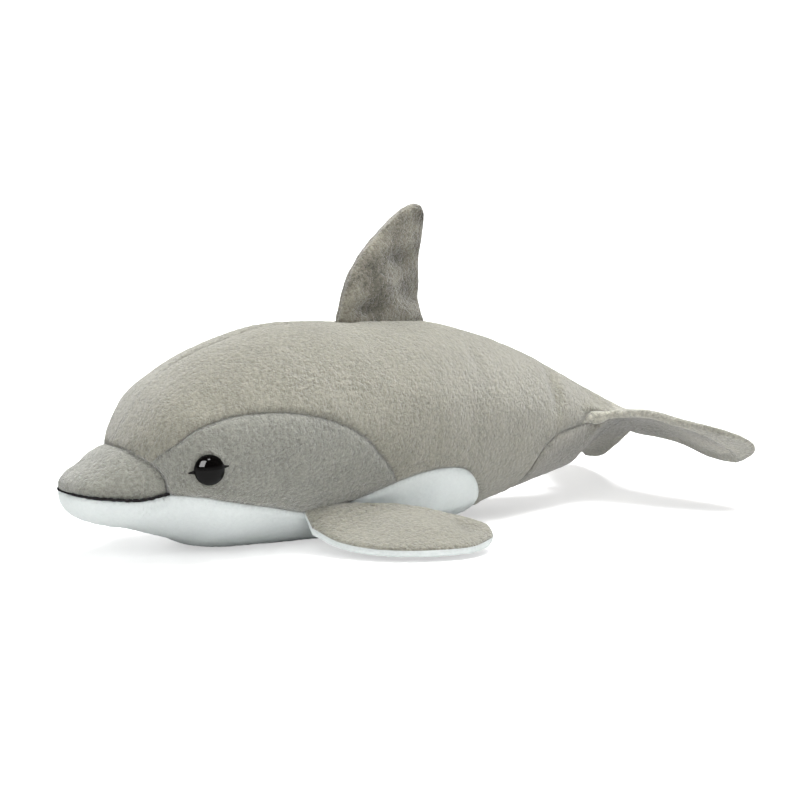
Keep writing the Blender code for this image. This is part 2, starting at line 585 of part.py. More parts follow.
def mouth_thread(finish):
    """One embroidered line from the left mouth corner round the beak tip to the right corner."""
    run = np.concatenate([np.linspace(MOUTH_CORNER[0] - 0.5, 4, 9), [2.2, 1.0, 0.3, 0.0]])
    out = (THREAD_RADIUS + CLEARANCE) * smooth_step(run, THREAD_IN, THREAD_OUT)
    left = [skin(s, 90) + (skin_normal(s, 90) * rise if s > 0.6 else 0) for s, rise in zip(run, out)]
    path = [*left, *[p * (-1, 1, 1) for p in left[-2::-1]]]
    line = bpy.data.curves.new("mouth_thread", "CURVE")
    line.dimensions = "3D"
    line.bevel_depth = THREAD_RADIUS * METRE
    line.bevel_resolution = 1
    line.use_fill_caps = True
    spline = line.splines.new("POLY")
    spline.points.add(len(path) - 1)
    for point, place in zip(spline.points, world(path)):
        point.co = (*place, 1)
    line.materials.append(finish)
    made = bpy.data.objects.new("mouth_thread", line)
    bpy.context.scene.collection.objects.link(made)
    return made


def label(finish):
    """A plain folded ribbon that hangs from the seam at the root of the right lobe."""
    work = bmesh.new()
    bmesh.ops.create_cube(work, size=1)
    bmesh.ops.scale(work, vec=(LABEL_WIDTH * METRE, LABEL_THICKNESS * METRE, LABEL_LENGTH * METRE), verts=work.verts)
    bmesh.ops.translate(work, vec=(0, 0, -LABEL_LENGTH / 2 * METRE), verts=work.verts)
    made = add_object("label", work, finish)
    made.location = Vector(world(LABEL_TOP))
    made.rotation_euler = (math.radians(LABEL_LEAN), 0, math.radians(LABEL_TURN))
    return made


def main():
    for old in list(bpy.data.objects):
        bpy.data.objects.remove(old)
    grey = material("grey_plush", (0.39, 0.38, 0.33), 0.95)
    cheek_grey = material("cheek_plush", (0.33, 0.33, 0.295), 0.95)
    white = material("white_plush", (0.82, 0.85, 0.84), 0.9)
    fibre = material("polyester_fibre", (0.85, 0.85, 0.82), 1.0)
    glossy = material("eye_plastic", (0.012, 0.01, 0.009), 0.06)
    thread = material("black_thread", (0.015, 0.014, 0.013), 0.6)
    plastic = material("washer_plastic", (0.75, 0.75, 0.72), 0.4)
    ribbon = material("label_ribbon", (0.86, 0.87, 0.87), 0.5)
    body_panels(grey, cheek_grey, white)
    filling = body_filling(fibre)
    dorsal_fin(grey, fibre)
    for side, word in ((1, "left"), (-1, "right")):
        flipper(side, word, grey, white, fibre)
        eye(side, word, glossy, thread, plastic, filling)
    mouth_thread(thread)
    label(ribbon)


main()
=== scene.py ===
"""Looks of the plush dolphin: sewn fabric, stitching, eyes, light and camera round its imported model.

The fabric follows the same surface as the model, skin(), whose points are named by the distance behind the beak
tip and by an angle round the body: 0 under the belly, 90 on the left side, 180 on the back, -90 on the right.
Sizes are in millimetres and degrees until an object is made.
"""

import itertools
import math

import bpy
import numpy as np
from mathutils import Matrix, Vector
from mathutils.geometry import delaunay_2d_cdt
from mathutils.kdtree import KDTree


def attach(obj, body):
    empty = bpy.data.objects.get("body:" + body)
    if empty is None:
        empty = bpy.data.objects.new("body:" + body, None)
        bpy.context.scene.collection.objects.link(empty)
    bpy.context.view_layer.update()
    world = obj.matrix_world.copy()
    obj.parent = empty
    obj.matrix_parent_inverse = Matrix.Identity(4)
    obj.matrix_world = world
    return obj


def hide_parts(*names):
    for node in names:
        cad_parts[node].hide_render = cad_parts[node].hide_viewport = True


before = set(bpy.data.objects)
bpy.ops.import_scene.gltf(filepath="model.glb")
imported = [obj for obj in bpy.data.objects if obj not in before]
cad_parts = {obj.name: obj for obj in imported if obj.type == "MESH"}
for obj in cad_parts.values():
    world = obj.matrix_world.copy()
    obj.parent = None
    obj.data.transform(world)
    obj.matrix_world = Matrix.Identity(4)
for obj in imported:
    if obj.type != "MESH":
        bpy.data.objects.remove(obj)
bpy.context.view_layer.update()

METRE = 0.001
HALF_LENGTH = 147.3

# Leading edge of the tail lobes, as (half width, distance behind the beak tip)
LOBE_EDGE = [(0, 250), (19, 250.5), (29, 256), (42, 261.5), (53, 266), (62.5, 270.5), (66.5, 274.5)]

# Body profiles, as (distance behind the beak tip, height or half width)
CENTRE_HEIGHT = [(0, 27.8), (12, 26.2), (22, 25.5), (33, 27.2), (60, 34), (90, 40), (130, 41.5), (165, 40),
                 (200, 37.5), (242, 34.5), (258, 35), (267, 33.5), (275, 29), (282, 24.5)]
BEAK_TOP = [(0, 34.4), (6, 35.8), (11, 38.2), (16, 42), (24.5, 44.8), (38, 48)]
HEAD_TOP = [(20, 52), (26, 58), (32, 63.2), (38, 67.8), (45, 72.2), (53, 76), (64, 79.8), (75, 82.9), (91, 85.4),
            (109, 85.8), (127, 85.2), (150, 84.2), (168, 82), (188, 76.4), (208, 69), (229, 59), (248, 49.2),
            (258, 43.8), (267, 38.6), (275, 32), (282, 26.2)]
BOTTOM = [(0, 18), (6, 16.8), (11, 14.8), (16, 13.2), (22, 12), (32, 9), (43, 5.6), (53, 1.8), (64, 0.1),
          (80, -0.9), (110, -2), (150, -2), (170, -0.6), (188, 4.2), (203, 8.0), (215, 10.6), (228, 13), (241, 16),
          (250, 20.5), (258, 25), (267, 28.4), (275, 26), (282, 22.8)]
BEAK_HALF_WIDTH = [(0, 12.6), (6, 14), (13, 16.8), (22, 20.4), (38, 24)]
HEAD_HALF_WIDTH = [(20, 27), (28, 29.6), (38, 31.8), (50, 34), (70, 36.8), (90, 38.6), (125, 39.4), (150, 38),
                   (170, 34.6), (190, 29.6), (214, 23), (232, 18), (242, 15.4), (250, 19),
                   *[(s, x) for x, s in LOBE_EDGE[2:]], (277, 67), (280, 64.5), (282, 55)]
TIP_LENGTH = 7.5
SKIN_END = 282.0
END_ROUND = 4.0
UPPER_FULLNESS = [(0, 2.15), (20, 2.2), (32, 2.35), (50, 2.12), (90, 2.03), (282, 2.1)]
LOWER_FULLNESS = 2.35
FLUKE_FULLNESS = 3.2

# How fast the forehead swells behind the beak seam
MELON_LENGTH = 16.0
THROAT_SPREAD = 0.45

# Tail fluke
FLUKE_START = 236.0
FLUKE_BLEND = 16.0
LOBE_HALF_THICKNESS = 3.0
STOCK_CORE = 9.5
SWEEP_LENGTH = 26.0
SWEEP = 0.2
LOBE_ROOT = 9.0
LOBE_SPAN = 60.0
LOBE_TWIST = [(0, 0), (0.25, 5.5), (0.5, 9.5), (0.75, 8), (1, 1)]
LEFT_LOBE_LIFT = [(0, 0), (0.22, 3.8), (0.4, 4.8), (0.72, 2.6), (1, 1.6)]
RIGHT_LOBE_LIFT = [(0, 0), (0.5, -7), (1, -14)]
RECESS = 1.5

# Seams, as (distance behind the beak tip, angle)
MOUTH_CORNER = (33.0, 90.0)
BEAK_SEAM_TOP = (20.8, 180.0)
CHEEK_FRONT = (28.4, 125.0)
CHEEK_REAR = (129.6, 69.6)
BELLY_END = (181.5, 0.0)
GUSSET_TIP = (202.0, 0.0)
TAIL_SIDE = (238.0, 90.0)
TAIL_TOP = (260.0, 180.0)
BEAK_SIDE_SEAM = [CHEEK_FRONT, (31.6, 108), MOUTH_CORNER]
BEAK_ARCH_SEAM = [BEAK_SEAM_TOP, (21.8, 163), (24.6, 143), CHEEK_FRONT]
CHEEK_SEAM = [CHEEK_FRONT, (31.5, 123), (36, 120.5), (45, 121), (57, 120), (71, 116.2), (89, 109), (106, 100),
              (118.5, 88), (126.5, 77.5), CHEEK_REAR]
BELLY_SEAM_FRONT = [MOUTH_CORNER, (44, 83), (55, 75.5), (70, 66.5), (87, 57), (96, 56), (106, 59), (120, 65.4),
                    CHEEK_REAR]
BELLY_SEAM_REAR = [CHEEK_REAR, (140, 73), (153, 75), (164, 73), (171, 66), (176, 54), (179.5, 38), (181, 18),
                   BELLY_END]
GUSSET_SEAM = [GUSSET_TIP, (203, 20), (206, 42), (208.5, 58), (212, 71), (218, 81), (227, 88), TAIL_SIDE]
TAIL_SEAM = [TAIL_SIDE, (241, 101), (246.5, 118), (252.5, 140), (257.5, 164), TAIL_TOP]
DEGREE_LENGTH = 0.5
EDGE_DROP = 40.0

# Dorsal fin, as (distance behind the beak tip, height above the back) from root to tip
FIN_FRONT_EDGE = [(123.5, 0), (127.5, 15), (134.5, 27), (145, 38), (155.5, 46.4), (161.6, 49.6)]
FIN_REAR_EDGE = [(166, 0), (163.6, 9), (163.4, 23), (164.8, 36), (166, 44), (164.4, 49.2)]
FIN_HALF_THICKNESS = [(0, 6.2), (0.35, 4.6), (0.8, 3.0), (1, 2.6)]
# Its dimples and swells, as (distance behind the beak tip, height above the back's, rise, reach along, reach up)
FIN_BACK_HEIGHT = 84.0
FIN_FORMS = [(153, 26, -2.2, 6, 3.6), (136, 6, -2.4, 7, 3.2), (158, 9, -1.2, 5, 3.2), (146, 15, 1.1, 7, 5),
             (158, 35, 0.88, 6, 6)]

# Left flipper edges from root to tip, as (X, distance behind the beak tip, height)
FLIPPER_FRONT_EDGE = [(39, 88, 9.2), (52, 93, 5.2), (66, 102.5, 3.8), (76.5, 118, 3.6), (80.5, 134, 3.7),
                      (77, 149, 4.6)]
FLIPPER_REAR_EDGE = [(40, 115, 16), (40, 125, 15), (44, 135, 13.6), (53, 145, 11), (61, 152, 9), (68, 155, 7)]
FLIPPER_ROOT = (100.5, 57.5)
FLIPPER_ROOT_HALF_CHORD = 12.5
FLIPPER_ROOT_HALF_ANGLE = 4.6
FLIPPER_HALF_THICKNESS = [(0, 3.4), (0.5, 3.4), (1, 2.6)]
FLIPPER_ROOT_SHARE = 0.16
FLIPPER_SEAM_TURN = 7.0
# Its dimple and swell, as (X, distance behind the beak tip, rise, reach across, reach along)
FLIPPER_FORMS = [(66, 143, -2.0, 5, 4), (60, 122, 0.3, 10, 14)]
ROOT_SUNK = 0.5
TIP_ROUND = 0.86

# Eyes
EYE_PLACE = (45.8, 98.0)
EYE_RADIUS = 6.0
EYE_HEIGHT = 4.0
EYE_SEAT = 0.6
EYE_LIFT = 1.2
STEM_RADIUS = 2.0
STEM_LENGTH = 9.0
EYE_HOLE_RADIUS = 2.3
EYE_HOLE_SIDES = 12
EYE_RUFF = 0.6

# Sewing: the flat mesh before it is cut finer, and how the fabric meets at a seam
CLOTH_STEP = 3.0
OUTLINE_STEP = 2.6
ROLL_IN = 0.8
ROLL_WIDTH = 1.35
LIMB_ROLL = 0.4
THREAD_GAP = 0.2
PUCKER_SIZE = 5.2
PUCKER_REACH = 4.5
BACKING = 1.2
FLOOR_ROOM = 0.05
# Lumps of the filling as (size, height, seed), and the pile's relief as (fineness, height, seed)
LUMPS = [(30, 0.55, 5), (12, 0.2, 6)]
PILE = [(1.0, 0.143, 7), (1.9, 0.104, 8)]
PILE_SIZE = (2.0, 1.7)

# Stuffing: the skin starts smaller, and swells by no more than this
START_SMALLER = 1.0
SWELL_CAP = 1.5
STUFFING_FRAMES = 20
BODY_COLUMNS = 78
LIMB_ROWS = 26
LIMB_COLUMNS = 36

# Stitching
CORNER_TILT = 6.0
CORNER_HALF_LENGTH = 8.0
CORNER_HALF_HEIGHT = 2.6
CORNER_END_HEIGHT = 0.22
CORNER_STITCH_STEP = 0.34
CORNER_THREAD_RADIUS = 0.23
MOUTH_RADIUS = 0.5
MOUTH_IN = 8.0
MOUTH_OUT = 18.0
MOUTH_STITCH = 3.1

# Label
LABEL_WIDTH = 9.0
LABEL_LENGTH = 17.0
LABEL_HALF_THICKNESS = 0.12
LABEL_TOP = (-19.0, 248.0, 28.2)
LABEL_TURN = 50.0
LABEL_LEAN = 14.0

# Light
AMBIENT = 0.22
FLOOR_TONE = 0.74
FLOOR_GLOW = 0.52
FAR_GLOW = 0.95
# Lamps, as (name, azimuth, elevation and distance in metres, size in metres, power, whether it lights the toy or
# only shows in its glosses)
LAMPS = [("far_side", (-84, 24, 1.3), 0.6, 5.0, True), ("above", (185, 76, 1.3), 0.7, 28.0, True),
         ("near_side", (92, 14, 1.6), 0.9, 1.5, True), ("front", (35, 40, 1.5), 0.75, 6.0, True),
         ("window", (33, 33, 1.5), 0.9, 100.0, False), ("second_window", (74, 58, 1.5), 0.3, 9.0, False)]
TARGET = Vector((0, 0.0074, 0.0503))
CAMERA_PLACE = (57, 9, 1.1)
CAMERA_LENS = 119.25


# The surface

def smooth_curve(points):
    """A function that passes smoothly through (place, value) points without overshooting them."""
    x, y = np.array(points, float).T
    h = np.diff(x)
    slope = np.diff(y) / h
    tangent = np.concatenate([slope[:1], np.zeros(len(x) - 2), slope[-1:]])
    before, after = 2 * h[1:] + h[:-1], h[1:] + 2 * h[:-1]
    for i in np.nonzero(slope[:-1] * slope[1:] > 0)[0]:
        tangent[i + 1] = (before[i] + after[i]) / (before[i] / slope[i] + after[i] / slope[i + 1])

    def value(at):
        at = np.clip(np.asarray(at, float), x[0], x[-1])
        i = np.clip(np.searchsorted(x, at, side="right") - 1, 0, len(h) - 1)
        t = (at - x[i]) / h[i]
        left = y[i] * (1 + 2 * t) + h[i] * tangent[i] * t
        right = y[i + 1] * (3 - 2 * t) - h[i] * tangent[i + 1] * (1 - t)
        return left * (1 - t) ** 2 + right * t * t

    return value


def smooth_step(value, start, end):
    t = np.clip((value - start) / (end - start), 0, 1)
    return t * t * (3 - 2 * t)


def hill(value, width):
    return np.exp(-(value / width) ** 2)


def rounded(value, power):
    """A power that keeps the sign, for fuller and leaner ovals."""
    return np.sign(value) * np.abs(value) ** power


def round_end(value, start, end, least=0.003):
    """1 up to start, then round down to almost nothing at end."""
    return np.maximum(1 - np.clip((value - start) / (end - start), 0, 1) ** 2, least) ** 0.5


def signed(angle):
    """The same angle between -180 and 180."""
    return (np.asarray(angle, float) + 180) % 360 - 180


def unit(vectors):
    return vectors / np.maximum(np.linalg.norm(vectors, axis=-1, keepdims=True), 1e-12)


def circle(count):
    """Angles all round, in radians."""
    return np.linspace(0, math.tau, count, endpoint=False)


def run_along(path):
    """The length of a line up to each of its points."""
    return np.concatenate([[0], np.cumsum(np.linalg.norm(np.diff(path, axis=0), axis=1))])


centre_height = smooth_curve(CENTRE_HEIGHT)
beak_top = smooth_curve(BEAK_TOP)
head_top = smooth_curve(HEAD_TOP)
bottom = smooth_curve(BOTTOM)
beak_half_width = smooth_curve(BEAK_HALF_WIDTH)
head_half_width = smooth_curve(HEAD_HALF_WIDTH)
upper_fullness = smooth_curve(UPPER_FULLNESS)
left_lift = smooth_curve(LEFT_LOBE_LIFT)
right_lift = smooth_curve(RIGHT_LOBE_LIFT)
lobe_twist = smooth_curve(LOBE_TWIST)
lobe_edge = smooth_curve(LOBE_EDGE)
fin_half_thickness = smooth_curve(FIN_HALF_THICKNESS)
flipper_half_thickness = smooth_curve(FLIPPER_HALF_THICKNESS)
beak_seam_place = smooth_curve([(a, s) for s, a in (BEAK_ARCH_SEAM[:-1] + BEAK_SIDE_SEAM)[::-1]])


def melon_share(s, fold):
    """0 on the beak and 1 on the head: the forehead swells steeply behind the beak seam, the throat gently."""
    below = np.clip(90 - fold, 0, 90)
    q = np.clip((s - beak_seam_place(np.maximum(fold, 90)) + THROAT_SPREAD * below / 2)
                / (MELON_LENGTH + THROAT_SPREAD * below), 0, 1)
    steep = (1 - (1 - q) ** 2) ** 0.62
    gentle = q * q * (3 - 2 * q)
    return steep + (gentle - steep) * np.clip(below / 40, 0, 1)


def skin(s, angle):
    s, angle = np.broadcast_arrays(np.asarray(s, float), np.asarray(angle, float))
    fold, turn = np.abs(signed(angle)), np.radians(angle)
    upper = fold > 90
    tip = np.sqrt(1 - (1 - np.clip(s / TIP_LENGTH, 0, 1)) ** 2)
    share = melon_share(s, fold)
    centre = centre_height(s)
    half_width = tip * (beak_half_width(s) + share * (head_half_width(s) - beak_half_width(s)))
    top = beak_top(s) + share * (head_top(s) - beak_top(s))
    half_height = tip * np.where(upper, top - centre, centre - bottom(s))
    fluke = smooth_step(s, FLUKE_START, FLUKE_START + FLUKE_BLEND)
    fullness = np.where(upper, upper_fullness(s), LOWER_FULLNESS) * (1 - fluke) + FLUKE_FULLNESS * fluke
    x = rounded(np.sin(turn), 2 / fullness) * half_width
    lobe = np.minimum(half_height, LOBE_HALF_THICKNESS)
    flat = lobe + (half_height - lobe) * hill(x, STOCK_CORE)
    half_height = (half_height + fluke * (flat - half_height)) * round_end(s, SKIN_END - END_ROUND, SKIN_END)
    rise = np.abs(np.cos(turn)) ** (2 / fullness) * half_height
    out = np.clip((np.abs(x) - LOBE_ROOT) / LOBE_SPAN, 0, 1)
    lift = fluke * np.where(x > 0, left_lift(out), right_lift(out))
    lead = lobe_edge(np.abs(x))
    twist = lobe_twist(out) * np.clip((s - lead) / (SKIN_END - lead), 0, 1)
    z = centre + np.where(upper, rise, -rise) + lift - fluke * twist
    y = s + SWEEP * np.abs(x) * smooth_step(s, SKIN_END - SWEEP_LENGTH, SKIN_END)
    return np.stack([x, y, np.maximum(z, 0)], -1)


def skin_normal(s, angle):
    d = 0.5
    return unit(np.cross(skin(s + d, angle) - skin(s - d, angle), skin(s, angle + d) - skin(s, angle - d)))


def along_edge(edge, share):
    """Points of a limb's edge at shares of its way from root to tip."""
    place = np.linspace(0, 1, len(edge))
    return np.stack([smooth_curve(list(zip(place, values)))(share) for values in zip(*edge)], -1)


def fin_surface(v, turn):
    """Dorsal fin: v runs from root (0) to tip (1), turn from the front edge (0) over the left face to the rear edge
    (180)."""
    v, turn = np.broadcast_arrays(np.asarray(v, float), np.asarray(turn, float))
    a = np.radians(turn)
    front, rear = along_edge(FIN_FRONT_EDGE, v), along_edge(FIN_REAR_EDGE, v)
    x = rounded(np.sin(a), 0.8) * fin_half_thickness(v) * round_end(v, TIP_ROUND, 1)
    s, rise = np.moveaxis((front + rear) / 2 - (rear - front) / 2 * np.cos(a)[..., None], -1, 0)
    ground = skin(s, 180 - np.degrees(np.arcsin(np.clip(x / head_half_width(s), -1, 1))))[..., 2]
    return np.stack([x, s, ground - ROOT_SUNK + np.maximum(rise, 0)], -1)


def flipper_surface(u, turn, side=1):
    """Flipper: u runs from root (0) to tip (1), turn from the front edge (0) over the top to the rear edge (180) and
    back underneath (-180)."""
    u, turn = np.broadcast_arrays(np.asarray(u, float), np.asarray(turn, float))
    a = np.radians(turn)
    free = np.clip((u - FLIPPER_ROOT_SHARE) / (1 - FLIPPER_ROOT_SHARE), 0, 1)
    front, rear = along_edge(FLIPPER_FRONT_EDGE, free), along_edge(FLIPPER_REAR_EDGE, free)
    across = np.cos(a) * round_end(free, TIP_ROUND, 1, 0.02)
    rise = rounded(np.sin(a), 0.5) * flipper_half_thickness(free) * round_end(free, 0.9, 1)
    wing = (front + rear) / 2 - (rear - front) / 2 * across[..., None] + rise[..., None] * (0, 0, 1)
    s = FLIPPER_ROOT[0] - FLIPPER_ROOT_HALF_CHORD * np.cos(a)
    angle = FLIPPER_ROOT[1] + FLIPPER_ROOT_HALF_ANGLE * np.sin(a)
    root = skin(s, angle) - skin_normal(s, angle) * ROOT_SUNK
    return (root + smooth_step(u, 0, FLIPPER_ROOT_SHARE)[..., None] * (wing - root)) * (side, 1, 1)


def with_lips(way):
    """The skin, parted at the mouth to leave room for its stitching."""
    def surface(s, angle):
        made = skin(s, angle)
        lip = 0.8 * MOUTH_RADIUS * (1 - smooth_step(np.broadcast_to(s, made.shape[:-1]), MOUTH_OUT, MOUTH_CORNER[0]))
        return made + (way * lip)[..., None] * (0, 0, 1)
    return surface


# Charts of the body: every point of the skin laid out flat, in millimetres, so that fabric meshes evenly

stations = np.concatenate([4 * np.linspace(0, 1, 33) ** 2, np.arange(4.5, SKIN_END + 0.01, 0.5)])
fold_steps = np.linspace(0, 180, 721)
sections = skin(stations[:, None], fold_steps[None, :])
girth = np.cumsum(np.linalg.norm(np.diff(sections[..., [0, 2]], axis=1), axis=-1), axis=1)
girth = np.hstack([np.zeros((len(stations), 1)), girth])
half_girth = girth[:, -1]
girth_share = girth / np.maximum(half_girth, 1e-9)[:, None]
girth_share[0] = girth_share[1]
fold_at = np.array([np.interp(fold_steps / 180, row, fold_steps) for row in girth_share])
run_at = run_along(skin(stations, 150.0))


def between(table, i, t, j, k, u):
    """Bilinear look-up, t of the way between rows i and i + 1 and u of the way between columns j and k."""
    return (table[i, j] * (1 - u) + table[i, k] * u) * (1 - t) + (table[i + 1, j] * (1 - u) + table[i + 1, k] * u) * t


def looked_up(table, s, share):
    """A value of a table of stations and even shares of the way round."""
    i = np.clip(np.searchsorted(stations, s, side="right") - 1, 0, len(stations) - 2)
    t = np.clip((s - stations[i]) / (stations[i + 1] - stations[i]), 0, 1)
    last = table.shape[1] - 1
    j = np.clip((share * last).astype(int), 0, last - 1)
    u = share * last - j
    return between(table, i, t, j, j + 1, u)


def body_chart(from_back):
    """Flat coordinates of the skin, counted from the middle of the back or of the belly."""
    def flat(s, angle):
        turn = signed(angle)
        share = looked_up(girth_share, s, np.abs(turn) / 180)
        side = np.where(turn < 0, -1, 1)
        across = (share - 1) * side if from_back else share * side
        return np.interp(s, stations, run_at), across * np.interp(s, stations, half_girth)

    def named(run, across):
        s = np.interp(run, run_at, stations)
        share = np.clip(np.abs(across) / np.maximum(np.interp(s, stations, half_girth), 1e-6), 0, 1)
        side = np.where(across < 0, -1, 1) * (-1 if from_back else 1)
        return s, side * looked_up(fold_at, s, 1 - share if from_back else share)

    return flat, named


def limb_chart(length, width):
    """The same for a limb of that length, with its width for each degree."""
    return (lambda u, turn: (np.asarray(u) * length, np.asarray(turn) * width),
            lambda run, across: (run / length, across / width))


# Outlines

def seam(points, step):
    """Evenly spaced points of the smooth line through the given ones."""
    p = np.array(points, float) * (1, DEGREE_LENGTH)
    padded = np.vstack([2 * p[0] - p[1], p, 2 * p[-1] - p[-2]])
    t = np.linspace(0, 1, 13)[:-1, None]
    fine = np.vstack([
        0.5 * (2 * b + (c - a) * t + (2 * a - 5 * b + 4 * c - d) * t ** 2 + (3 * b - a - 3 * c + d) * t ** 3)
        for a, b, c, d in zip(padded, padded[1:], padded[2:], padded[3:])] + [p[-1:]])
    run = run_along(fine)
    at = np.linspace(0, run[-1], max(2, round(run[-1] / step) + 1))
    return [(np.interp(a, run, fine[:, 0]), np.interp(a, run, fine[:, 1]) / DEGREE_LENGTH) for a in at]


def even(samples, surface=skin):
    """The same line with its points evenly spaced on the surface."""
    samples = np.array(samples, float)
    run = run_along(surface(samples[:, 0], samples[:, 1]))
    at = np.linspace(0, run[-1], max(2, round(run[-1] / OUTLINE_STEP) + 1))
    return list(zip(np.interp(at, run, samples[:, 0]), np.interp(at, run, samples[:, 1])))


def line(points):
    return even(seam(points, 0.5))


def opposite(points):
    """The same line on the right side, run the other way."""
    return [(s, -max(a, 0.0001)) for s, a in points[::-1]]


def drawn_in(ring):
    """The outline moved inwards by half a seam's gap."""
    along = unit(np.roll(ring, -1, 0) - ring) + unit(ring - np.roll(ring, 1, 0))
    area = np.sum(ring[:, 0] * np.roll(ring[:, 1], -1) - np.roll(ring[:, 0], -1) * ring[:, 1])
    inward = np.sign(area) * np.stack([-along[:, 1], along[:, 0]], 1)
    inward /= np.maximum(np.linalg.norm(inward, axis=1, keepdims=True), 0.3)
    return ring + inward * THREAD_GAP / 2


def inside_with_room(points, ring, room):
    a, b = ring, np.roll(ring, -1, 0)
    edge = b - a
    kept = np.zeros(len(points), bool)
    for start in range(0, len(points), 2000):
        p = points[start:start + 2000, None, :]
        t = np.clip(((p - a) * edge).sum(-1) / np.maximum((edge ** 2).sum(-1), 1e-12), 0, 1)
        near = np.linalg.norm(a + edge * t[..., None] - p, axis=-1).min(1) < room
        spans = (a[:, 1] > p[..., 1]) != (b[:, 1] > p[..., 1])
        crossing = a[:, 0] + (p[..., 1] - a[:, 1]) * edge[:, 0] / np.where(edge[:, 1] == 0, 1, edge[:, 1])
        odd = (spans & (p[..., 0] < crossing)).sum(1) % 2 == 1
        kept[start:start + 2000] = odd & ~near
    return kept


# Meshes

def noise(points, seed):
    """Smooth noise between -1 and 1 with one unit between its knots."""
    cell = np.floor(points).astype(np.int64)
    part = points - cell
    fade = part ** 3 * (part * (part * 6 - 15) + 10)
    total = np.zeros(len(points))
    for corner in itertools.product((0, 1), repeat=3):
        knot = cell + corner
        code = (knot[:, 0] * 73856093) ^ (knot[:, 1] * 19349663) ^ (knot[:, 2] * 83492791) ^ (seed * 2654435761)
        code = ((code ^ (code >> 13)) * 1274126177) & 0xFFFFFFFF
        code = ((code ^ (code >> 16)) * 2246822519) & 0xFFFFFFFF
        weight = np.prod(np.where(corner, fade, 1 - fade), axis=1)
        total += weight * ((code >> 8) / 8388608.0 - 1)
    return total


def split(points, faces):
    """Every triangle cut into four at the middles of its edges."""
    edges = np.sort(np.concatenate([faces[:, [0, 1]], faces[:, [1, 2]], faces[:, [2, 0]]]), axis=1)
    single, which = np.unique(edges, axis=0, return_inverse=True)
    ab, bc, ca = len(points) + which.reshape(3, -1)
    a, b, c = faces.T
    points = np.vstack([points, points[single].mean(1)])
    faces = np.concatenate([np.stack(f, 1) for f in ((a, ab, ca), (ab, b, bc), (ca, bc, c), (ab, bc, ca))])
    return points, faces


def rim_of(faces):
    """The next vertex along the rim, for every vertex on it."""
    edges = {(int(a), int(b)) for f in (faces[:, [0, 1]], faces[:, [1, 2]], faces[:, [2, 0]]) for a, b in f}
    return {a: b for a, b in edges if (b, a) not in edges}


def vertex_normals(points, faces):
    a, b, c = points[faces[:, 0]], points[faces[:, 1]], points[faces[:, 2]]
    flat = np.cross(b - a, c - a)
    total = np.zeros_like(points)
    for k in range(3):
        for axis in range(3):
            total[:, axis] += np.bincount(faces[:, k], flat[:, axis], len(points))
    return unit(total)


def tree_of(points, which):
    tree = KDTree(len(which))
    for i in which:
        tree.insert(points[i], int(i))
    tree.balance()
    return tree


def quads_round(rings, sides):
    """Four-sided faces between rings of points that close round."""
    return [(i * sides + j, i * sides + k, (i + 1) * sides + k, (i + 1) * sides + j)
            for i in range(rings - 1) for j, k in zip(range(sides), [*range(1, sides), 0])]


def halved(quads):
    return [face for a, b, c, d in quads for face in ((a, b, c), (a, c, d))]


def capped(rings, low, high):
    """A closed mesh from rings of points, with a middle point for each end."""
    count, sides = rings.shape[:2]
    first, last, end = count * sides, count * sides + 1, (count - 1) * sides
    ends = [face for j, k in zip(range(sides), [*range(1, sides), 0])
            for face in ((first, k, j), (last, end + j, end + k))]
    return np.vstack([rings.reshape(-1, 3), [low, high]]), np.array(halved(quads_round(count, sides)) + ends)


def tube(path, radius, sides, lobes=0, pitch=1.0, up=(0, 0, 1)):
    """A closed tube along a path; with lobes its section is that of twisted strands, pitch millimetres a turn."""
    ahead = unit(np.gradient(path, axis=0))
    across = unit(np.cross(ahead, up))
    over = np.cross(across, ahead)
    run, turn = run_along(path), circle(sides)
    reach = 1 + (0.17 * np.cos(lobes * (turn - math.tau * run[:, None] / pitch)) if lobes else 0 * run[:, None])
    rings = (path[:, None] + (radius[:, None] * reach)[..., None]
             * (np.cos(turn)[:, None] * across[:, None] + np.sin(turn)[:, None] * over[:, None]))
    points, faces = capped(rings, path[0], path[-1])
    return points, faces[:, ::-1]


def turned(profile, place, segments=64):
    """A round closed solid from (radius, height) points that begin and end on the axis."""
    rings = np.array([[(r * math.cos(t), r * math.sin(t), h) for t in circle(segments)] for r, h in profile[1:-1]])
    points, faces = capped(rings, (0, 0, profile[0][1]), (0, 0, profile[-1][1]))
    return points @ np.array(place.to_3x3()).T + np.array(place.translation), faces


def joined(parts):
    """Several closed meshes as one, from the points and triangles of each."""
    starts = np.cumsum([0] + [len(points) for points, _ in parts])
    return np.vstack([p for p, _ in parts]), np.vstack([f + start for (_, f), start in zip(parts, starts)])


def skin_frame(s, angle, tilt):
    """A frame on the skin, in millimetres: its Z points out of the body, its X back along it."""
    out = Vector(skin_normal(s, angle))
    back = Vector((0, 1, 0))
    back = (back - out * back.dot(out)).normalized()
    made = Matrix((back, out.cross(back), out)).transposed().to_4x4()
    made.translation = Vector(skin(s, angle))
    return made @ Matrix.Rotation(math.radians(tilt), 4, "Z")


